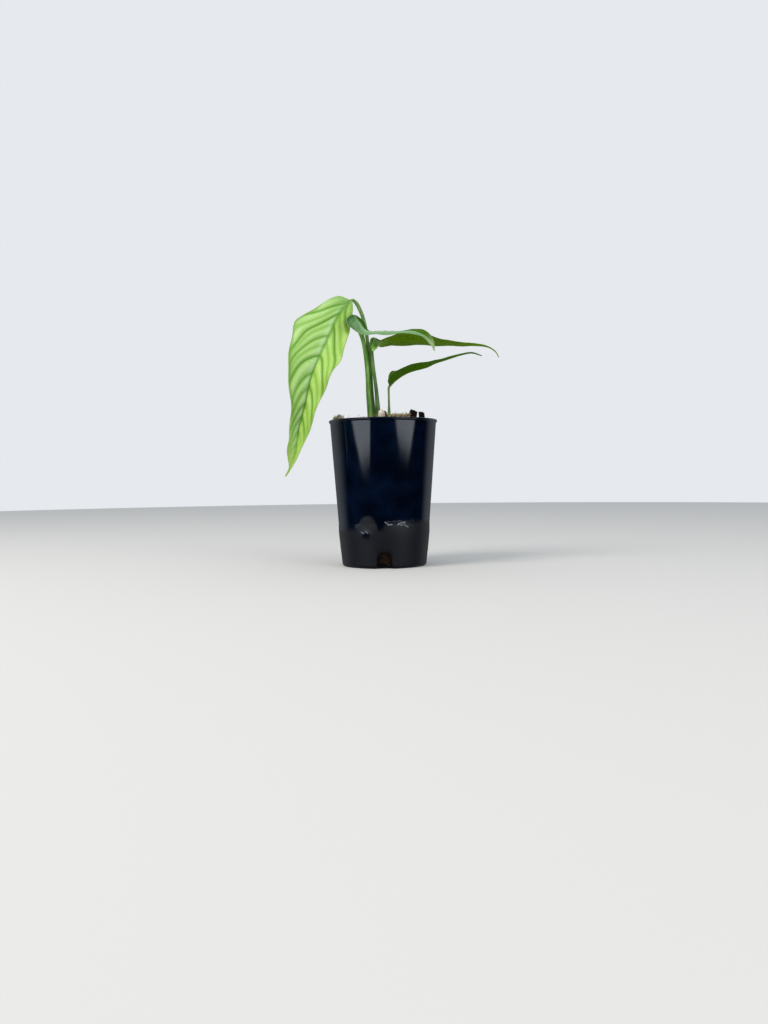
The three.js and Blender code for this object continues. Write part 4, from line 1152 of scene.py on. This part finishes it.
def chipParcels():
    # The chips and nuggets stand where the solids have them: the same seed gives the same places
    draw = seeded(mixForm["seed"])

    def between(low, high):
        return low + (high - low) * draw()

    def loose(kind):
        count, reach = (8, 0.34) if kind == "bark" else (20, 0.14)
        return [[(draw() - 0.5) * reach for _ in range(3)] for _ in range(count)]

    parcels = {kind: {"spots": [], "faces": [], "tones": []} for kind in ("bark", "perlite")}
    for kind, at, size, turn, tone in mixForm["placed"]:
        addLump(kind, loose(kind), size, turn, at, tone, parcels[kind])
    total = mixForm["barkCount"] + mixForm["perliteCount"]
    reach = innerRadius(mixForm["level"]) - mixForm["length"][1] * 0.75
    for i in range(total):
        kind = "bark" if i < mixForm["barkCount"] else "perlite"
        radius = reach * math.sqrt((i + 0.7) / total)
        angle = math.radians(i * mixForm["turnStep"] + between(0, 24))
        x, y = radius * math.cos(angle), radius * math.sin(angle)
        long, thick = between(*mixForm["length"]), between(*mixForm["thickness"])
        size = (long, long * 0.6, thick) if kind == "bark" else (thick * 1.5, thick * 1.3, thick * 1.3)
        turn = (between(*mixForm["tilt"]), between(*mixForm["tilt"]), between(0, 180))
        seat = (x, y, mixHeight(x, y) + thick * 0.15)
        addLump(kind, loose(kind), size, turn, seat, 0.12 + 0.6 * (i * 0.618 % 1), parcels[kind])
    meshes = {kind: newMesh(kind, parcel["spots"], parcel["faces"]) for kind, parcel in parcels.items()}
    for kind, mesh in meshes.items():
        store(mesh, "tone", parcels[kind]["tones"])
    return meshes


barkLook, perliteLook, mossLook = barkMaterial(), perliteMaterial(), mossMaterial()
bed = newObject("bark_bed", bedMesh(), barkLook)
hand(bed, "mix", "potting_mix")
chips = chipParcels()
chipPiece = newObject("bark_chips", chips["bark"], barkLook)
chips["bark"].set_sharp_from_angle(angle=math.radians(38))
nuggets = newObject("perlite_nuggets", chips["perlite"], perliteLook)
hand(chipPiece, "mix")
hand(nuggets, "mix")
print("mix", len(bed.data.polygons), len(chipPiece.data.polygons), len(nuggets.data.polygons))


# Scatter: small forms spread over a surface, turned and sized at random
formCount = 6
measures = ("Spacing", "Density", "Smallest", "Largest", "Lean")
others = {"Forms": "Collection", "Seed": "Int", "Material": "Material"}
scatterTree, sheet, given = newTree("scatter", {**others, **dict.fromkeys(measures, "Float")})


seed, lean = given["Seed"], given["Lean"]
ground = {"Mesh": given["Geometry"], "Distance Min": given["Spacing"], "Density Max": given["Density"]}
ground["Seed"] = seed
points = sheet.node("GeometryNodeDistributePointsOnFaces", {"distribute_method": "POISSON"}, ground)
group = {"Collection": given["Forms"], "Separate Children": True, "Reset Children": True}
forms = sheet.node("GeometryNodeCollectionInfo", {}, group)
tips = [sheet.chance(lean * -1, lean, k) for k in (3, 4)]
turn = sheet.node("ShaderNodeCombineXYZ", {}, dict(zip("XYZ", (*tips, sheet.chance(0.0, 2 * math.pi, 5)))))
placing = {
    "Points": points, "Instance": forms, "Pick Instance": True,
    "Instance Index": sheet.chance(0, formCount - 1, seed, "INT"), "Rotation": turn,
    "Scale": sheet.chance(given["Smallest"], given["Largest"], 6),
}
copies = sheet.node("GeometryNodeInstanceOnPoints", {}, placing)
closeTree(sheet, sheet.named(copies, "tone", sheet.chance(0.0, 0.95, 7), "INSTANCE"), given["Material"])


def lumpForms(name, stretch, rough):
    # Small angular lumps one unit across, with a few dozen faces each
    forms = bpy.data.collections.new(name)
    for k in range(formCount):
        bm = bmesh.new()
        bmesh.ops.create_icosphere(bm, subdivisions=2, radius=0.5)
        for v in bm.verts:
            v.co = v.co * (1 + (noise.cell(v.co * 2.2 + Vector((k * 7.0, 0, 0))) - 0.5) * rough)
            v.co = [a * b for a, b in zip(v.co, stretch)]
        bmesh.ops.dissolve_limit(bm, angle_limit=0.35, verts=bm.verts, edges=bm.edges)
        bmesh.ops.triangulate(bm, faces=bm.faces)
        mesh = bpy.data.meshes.new(name)
        bm.to_mesh(mesh)
        bm.free()
        mesh.transform(Matrix.Scale(mm, 4))
        forms.objects.link(bpy.data.objects.new(f"{name}{k}", mesh))
    return forms


def strandForms(name, girth, sway, leafy=False):
    # Bent strands one unit long, with small bracts where they are leafy
    sides, steps = 5, 9
    forms = bpy.data.collections.new(name)
    for k in range(formCount):
        draw = seeded(40 + k)
        bends = [(draw() - 0.5) * sway for _ in range(6)]
        spots = []
        for i in range(steps + 1):
            t = i / steps
            y = bends[0] * math.sin(3 * t + bends[1] * 9) + bends[2] * t * t
            z = bends[3] * math.sin(2.4 * t) + 0.1 * bends[4] * math.sin(9 * t)
            thick = girth * (1 - 0.5 * t) * (1.5 + math.sin(i * 2.6) * 0.6 if leafy else 1)
            spots += [(t - 0.5, *pair) for pair in circle(thick, sides, y, z)]
        rings = [list(range(i * sides, (i + 1) * sides)) for i in range(steps + 1)]
        mesh = outward(ringMesh(name, spots, rings, [rings[0][::-1], rings[-1]]))
        forms.objects.link(bpy.data.objects.new(f"{name}{k}", mesh))
    return forms


def topPatch(edge, lift):
    # The mix's surface as an open disc, for things to be spread over
    reach = innerRadius(mixForm["level"]) - edge
    rings, turns = 14, 48
    plan = [(0.0, 0.0), *[spot for i in range(1, rings + 1) for spot in circle(reach * i / rings, turns)]]
    faces = []
    for j in range(turns):
        k = (j + 1) % turns
        faces.append([0, 1 + j, 1 + k])
        for a in range(1, 1 + (rings - 1) * turns, turns):
            faces.append([a + j, a + turns + j, a + turns + k, a + k])
    return newMesh("topPatch", [(x, y, mixHeight(x, y) + lift) for x, y in plan], faces)


def tuftPatch():
    # Small open discs on top of the placed chips
    spots, faces = [], []
    level, count = mixForm["tuftLevel"], 8
    for x, y, reach in mixForm["tufts"]:
        first = len(spots)
        spots += [(x, y, level + 0.7), *[(*pair, level) for pair in circle(reach, count, x, y)]]
        faces += [[first, first + 1 + j, first + 1 + (j + 1) % count] for j in range(count)]
    return newMesh("tuftPatch", spots, faces)


def archPatch():
    # Four upright patches just inside the pot's foot arches
    spots, faces = [], []
    heights, inset, lowest, reach = (2.6, 7, 11.5), 1.5, 4.2, 0.2
    for k in range(4):
        first = len(spots)
        for z in heights:
            radius = innerRadius(max(z, lowest)) - inset
            for part in (-1, -0.5, 0, 0.5, 1):
                angle = k * math.pi / 2 - math.pi / 2 + part * reach
                spots.append((radius * math.cos(angle), radius * math.sin(angle), z))
        faces += [[a, a + 1, a + 6, a + 5] for i in (0, 5) for a in range(first + i, first + i + 4)]
    return newMesh("archPatch", spots, faces)


lumps = lumpForms("lump", (1.0, 0.7, 0.45), 0.7)
grains = lumpForms("grain", (1.0, 0.9, 0.85), 0.4)
strands = strandForms("strand", 0.035, 0.5, leafy=True)
hairs = strandForms("hair", 0.015, 0.7)
# Each one's surface, forms and material, then spacing in m, pieces per square metre, smallest and largest
# size in mm, lean in radians and seed
scatterForm = {
    "bark_crumbs": (topPatch(1.9, 0.35), lumps, barkLook, 0.0015, 900000.0, 0.7, 2.1, 0.7, 4),
    "perlite_grains": (topPatch(2.4, 0.6), grains, perliteLook, 0.0075, 60000.0, 0.8, 1.9, 1.5, 9),
    "moss_strands": (topPatch(6.5, 1.0), strands, mossLook, 0.0026, 300000.0, 4.5, 9.0, 0.55, 6),
    "fine_hairs": (topPatch(7.0, 1.6), hairs, mossLook, 0.0042, 90000.0, 5.0, 9.5, 1.1, 2),
    "moss_tufts": (tuftPatch(), strands, mossLook, 0.0005, 2400000.0, 2.4, 4.8, 0.9, 3),
    "arch_crumbs": (archPatch(), lumps, barkLook, 0.0013, 900000.0, 1.2, 2.6, 3.0, 8),
}
for name, (patch, forms, look, *numbers) in scatterForm.items():
    values = {"Forms": forms, **dict(zip((*measures, "Seed"), numbers))}
    piece = runTree(name, patch, scatterTree, values, look)
    piece.data.polygons.foreach_set("use_smooth", [False] * len(piece.data.polygons))
    hand(piece, "mix")
    print(name, len(piece.data.polygons))
for forms in (lumps, grains, strands, hairs):
    for part in list(forms.objects):
        bpy.data.objects.remove(part)
    bpy.data.collections.remove(forms)


# Rhizome and roots inside the mix, on the solids' lines
rootForm = {
    "path": [(-12.5, -1.6, 95.4), (-8, -1.5, 96.2), (-3, -1.4, 96.4), (2, -1.8, 96.4), (7.4, -2.6, 96)],
    "radius": 3.3, "count": 7, "seed": 5, "rootRadius": 1.15, "tipRadius": 0.6, "depth": 80, "spread": 21,
    "sides": 14, "skin": (146, 128, 84), "ring": (84, 66, 40), "young": (196, 184, 150),
    "youngBelow": (40.0, 92.0),  # mm up
}


def rootMaterial():
    material, sheet = newMaterial("rootSkin", {"IOR": 1.42})
    place = sheet.place()
    rings = sheet.grain(place, 1.6, 3, (1.6, 0.2, 0.4))
    fine = sheet.grain(place, 0.5, 3)
    young = (1 - sheet.axes(place)[2].rise(*rootForm["youngBelow"])) * 0.8
    colour = sheet.cover(rootForm["skin"], rootForm, (rings.rise(0.4, 0.65), "ring"), (young, "young"))
    return dress(material, sheet, colour, 0.6 + fine * 0.25, rings * 0.6 + fine * 0.4, 0.0003)


def rootLines():
    draw = seeded(rootForm["seed"])
    main = Line(rootForm["path"])
    radius, thin, count = rootForm["radius"], rootForm["rootRadius"], rootForm["count"]
    places = np.linspace(0, 1, 60)
    nodes = 1 + 0.09 * np.abs(np.sin(places * math.pi * 5)) ** 6
    girths = smoothAt([(0, radius * 0.55), (0.12, radius), (0.85, radius), (1, radius * 0.6)], places)
    lines = [(main.at(places), girths * nodes)]
    places = np.linspace(0, 1, 50)
    girths = smoothAt([(0, thin), (0.6, thin * 0.85), (1, rootForm["tipRadius"])], places)
    for k in range(count):
        x, y, z = main.at(0.12 + 0.76 * k / (count - 1))
        angle = k * 2 * math.pi / count + draw() * 0.5
        depth = rootForm["depth"] * (0.6 + 0.4 * draw())
        points = []
        for t in (0, 0.12, 0.4, 0.7, 1):
            away = rootForm["spread"] * math.sin(t * math.pi / 2) * (0.7 + 0.3 * draw())
            points.append((x + away * math.cos(angle), y + away * math.sin(angle), z - depth * t))
        lines.append((Line(points).at(places), girths * (1 + 0.08 * np.sin(places * 70 + k))))
    return lines


rootRail = railMesh("rhizome_and_roots", rootLines())
rootValues = {"Sides": rootForm["sides"], "Channel": 0.0}
rootPiece = runTree("rhizome_and_roots", rootRail, stalkTree, rootValues, rootMaterial())
hand(rootPiece, "rhizome", "rhizome_roots")
print("roots", len(rootPiece.data.polygons))


# Floor, studio surroundings and lights
studio = {
    "wall": (230, 233, 237), "floor": (214, 210, 204), "floorRadius": 1600, "front": 0.006, "back": 0.34,
    "above": 0.85, "paneGlow": 2.6, "tint": (0.92, 1.0, 1.1),
    # bearings and dips, in degrees, between which the light sets in: behind at the left and right, above
    "left": (92.0, 122.0), "right": (100.0, 126.0), "over": (6.0, 45.0),
    "fade": (122.0, 172.0), "faded": 0.65,  # and where it gets weaker again behind, and by how much
    # bearing, spread, lowest dip and slant of each bright pane, in degrees
    "panes": [(-39.0, 9.6, 7.6, 1.9), (47.0, 12.4, 6.5, 0.0)],
    "lights": [
        # place and aim in metres, size, power in watts, colour
        ((-0.75, -0.55, 0.95), (-0.02, 0, 0.13), 0.55, 9.0, (1.0, 0.985, 0.96)),
        ((0.7, -0.75, 0.6), (0, 0, 0.12), 0.7, 3.0, (0.96, 0.98, 1.0)),
    ],
}

floorMesh = newMesh("floor", [(x, y, 0) for x, y in circle(studio["floorRadius"], 96)], [list(range(96))])
floorLook = {"Base Color": linear(studio["floor"]), "Roughness": 0.85, "Specular IOR Level": 0.2}
floorPiece = newObject("floor", floorMesh, newMaterial("paleFloor", floorLook)[0], smooth=False)
floorPiece.visible_glossy = False

world = bpy.data.worlds.new("studio")
scene.world = world
world.use_nodes = True
sheet = Sheet(world.node_tree)
x, y, z = sheet.axes(sheet.node("ShaderNodeTexCoord")["Generated"])
degree = 180 / math.pi
bearing = x.reckon("ARCTAN2", x, y * -1) * degree
dip = z.reckon("ARCSINE", z) * degree
behind = (bearing * -1).rise(*studio["left"]).top(bearing.rise(*studio["right"]))
behind = behind * (1 - abs(bearing).rise(*studio["fade"]) * studio["faded"])
glow = (behind * studio["back"]).top(dip.rise(*studio["over"]) * studio["above"]).top(studio["front"])
for middle, wide, lowest, slant in studio["panes"]:
    raised = (dip + lowest).top(0.0)
    pane = 1 - (abs(bearing - middle + raised * slant) - raised**0.5 * wide).rise(-2.0, 2.0)
    pane = pane * (dip + lowest).rise(0.0, 2.5) * (1 - dip.rise(-0.5, 1.0))
    glow = glow.top(pane * studio["paneGlow"])
seen = sheet.node("ShaderNodeLightPath")["Is Camera Ray"]
tinted = {axis: glow * part for axis, part in zip("XYZ", studio["tint"])}
light = sheet.node("ShaderNodeCombineXYZ", {}, tinted)
colour = sheet.blend(seen, light, studio["wall"])
sheet.tree.links.new(colour.socket, world.node_tree.nodes["Background"].inputs["Color"])

for k, (place, aim, size, power, tint) in enumerate(studio["lights"]):
    lamp = bpy.data.lights.new(f"softbox{k}", "AREA")
    lamp.shape, lamp.size, lamp.energy, lamp.color = "DISK", size, power, tint
    lampObject = bpy.data.objects.new(f"softbox{k}", lamp)
    facing = (Vector(aim) - Vector(place)).to_track_quat("-Z", "Y")
    lampObject.matrix_world = Matrix.Translation(place) @ facing.to_matrix().to_4x4()
    scene.collection.objects.link(lampObject)
print("studio ready")
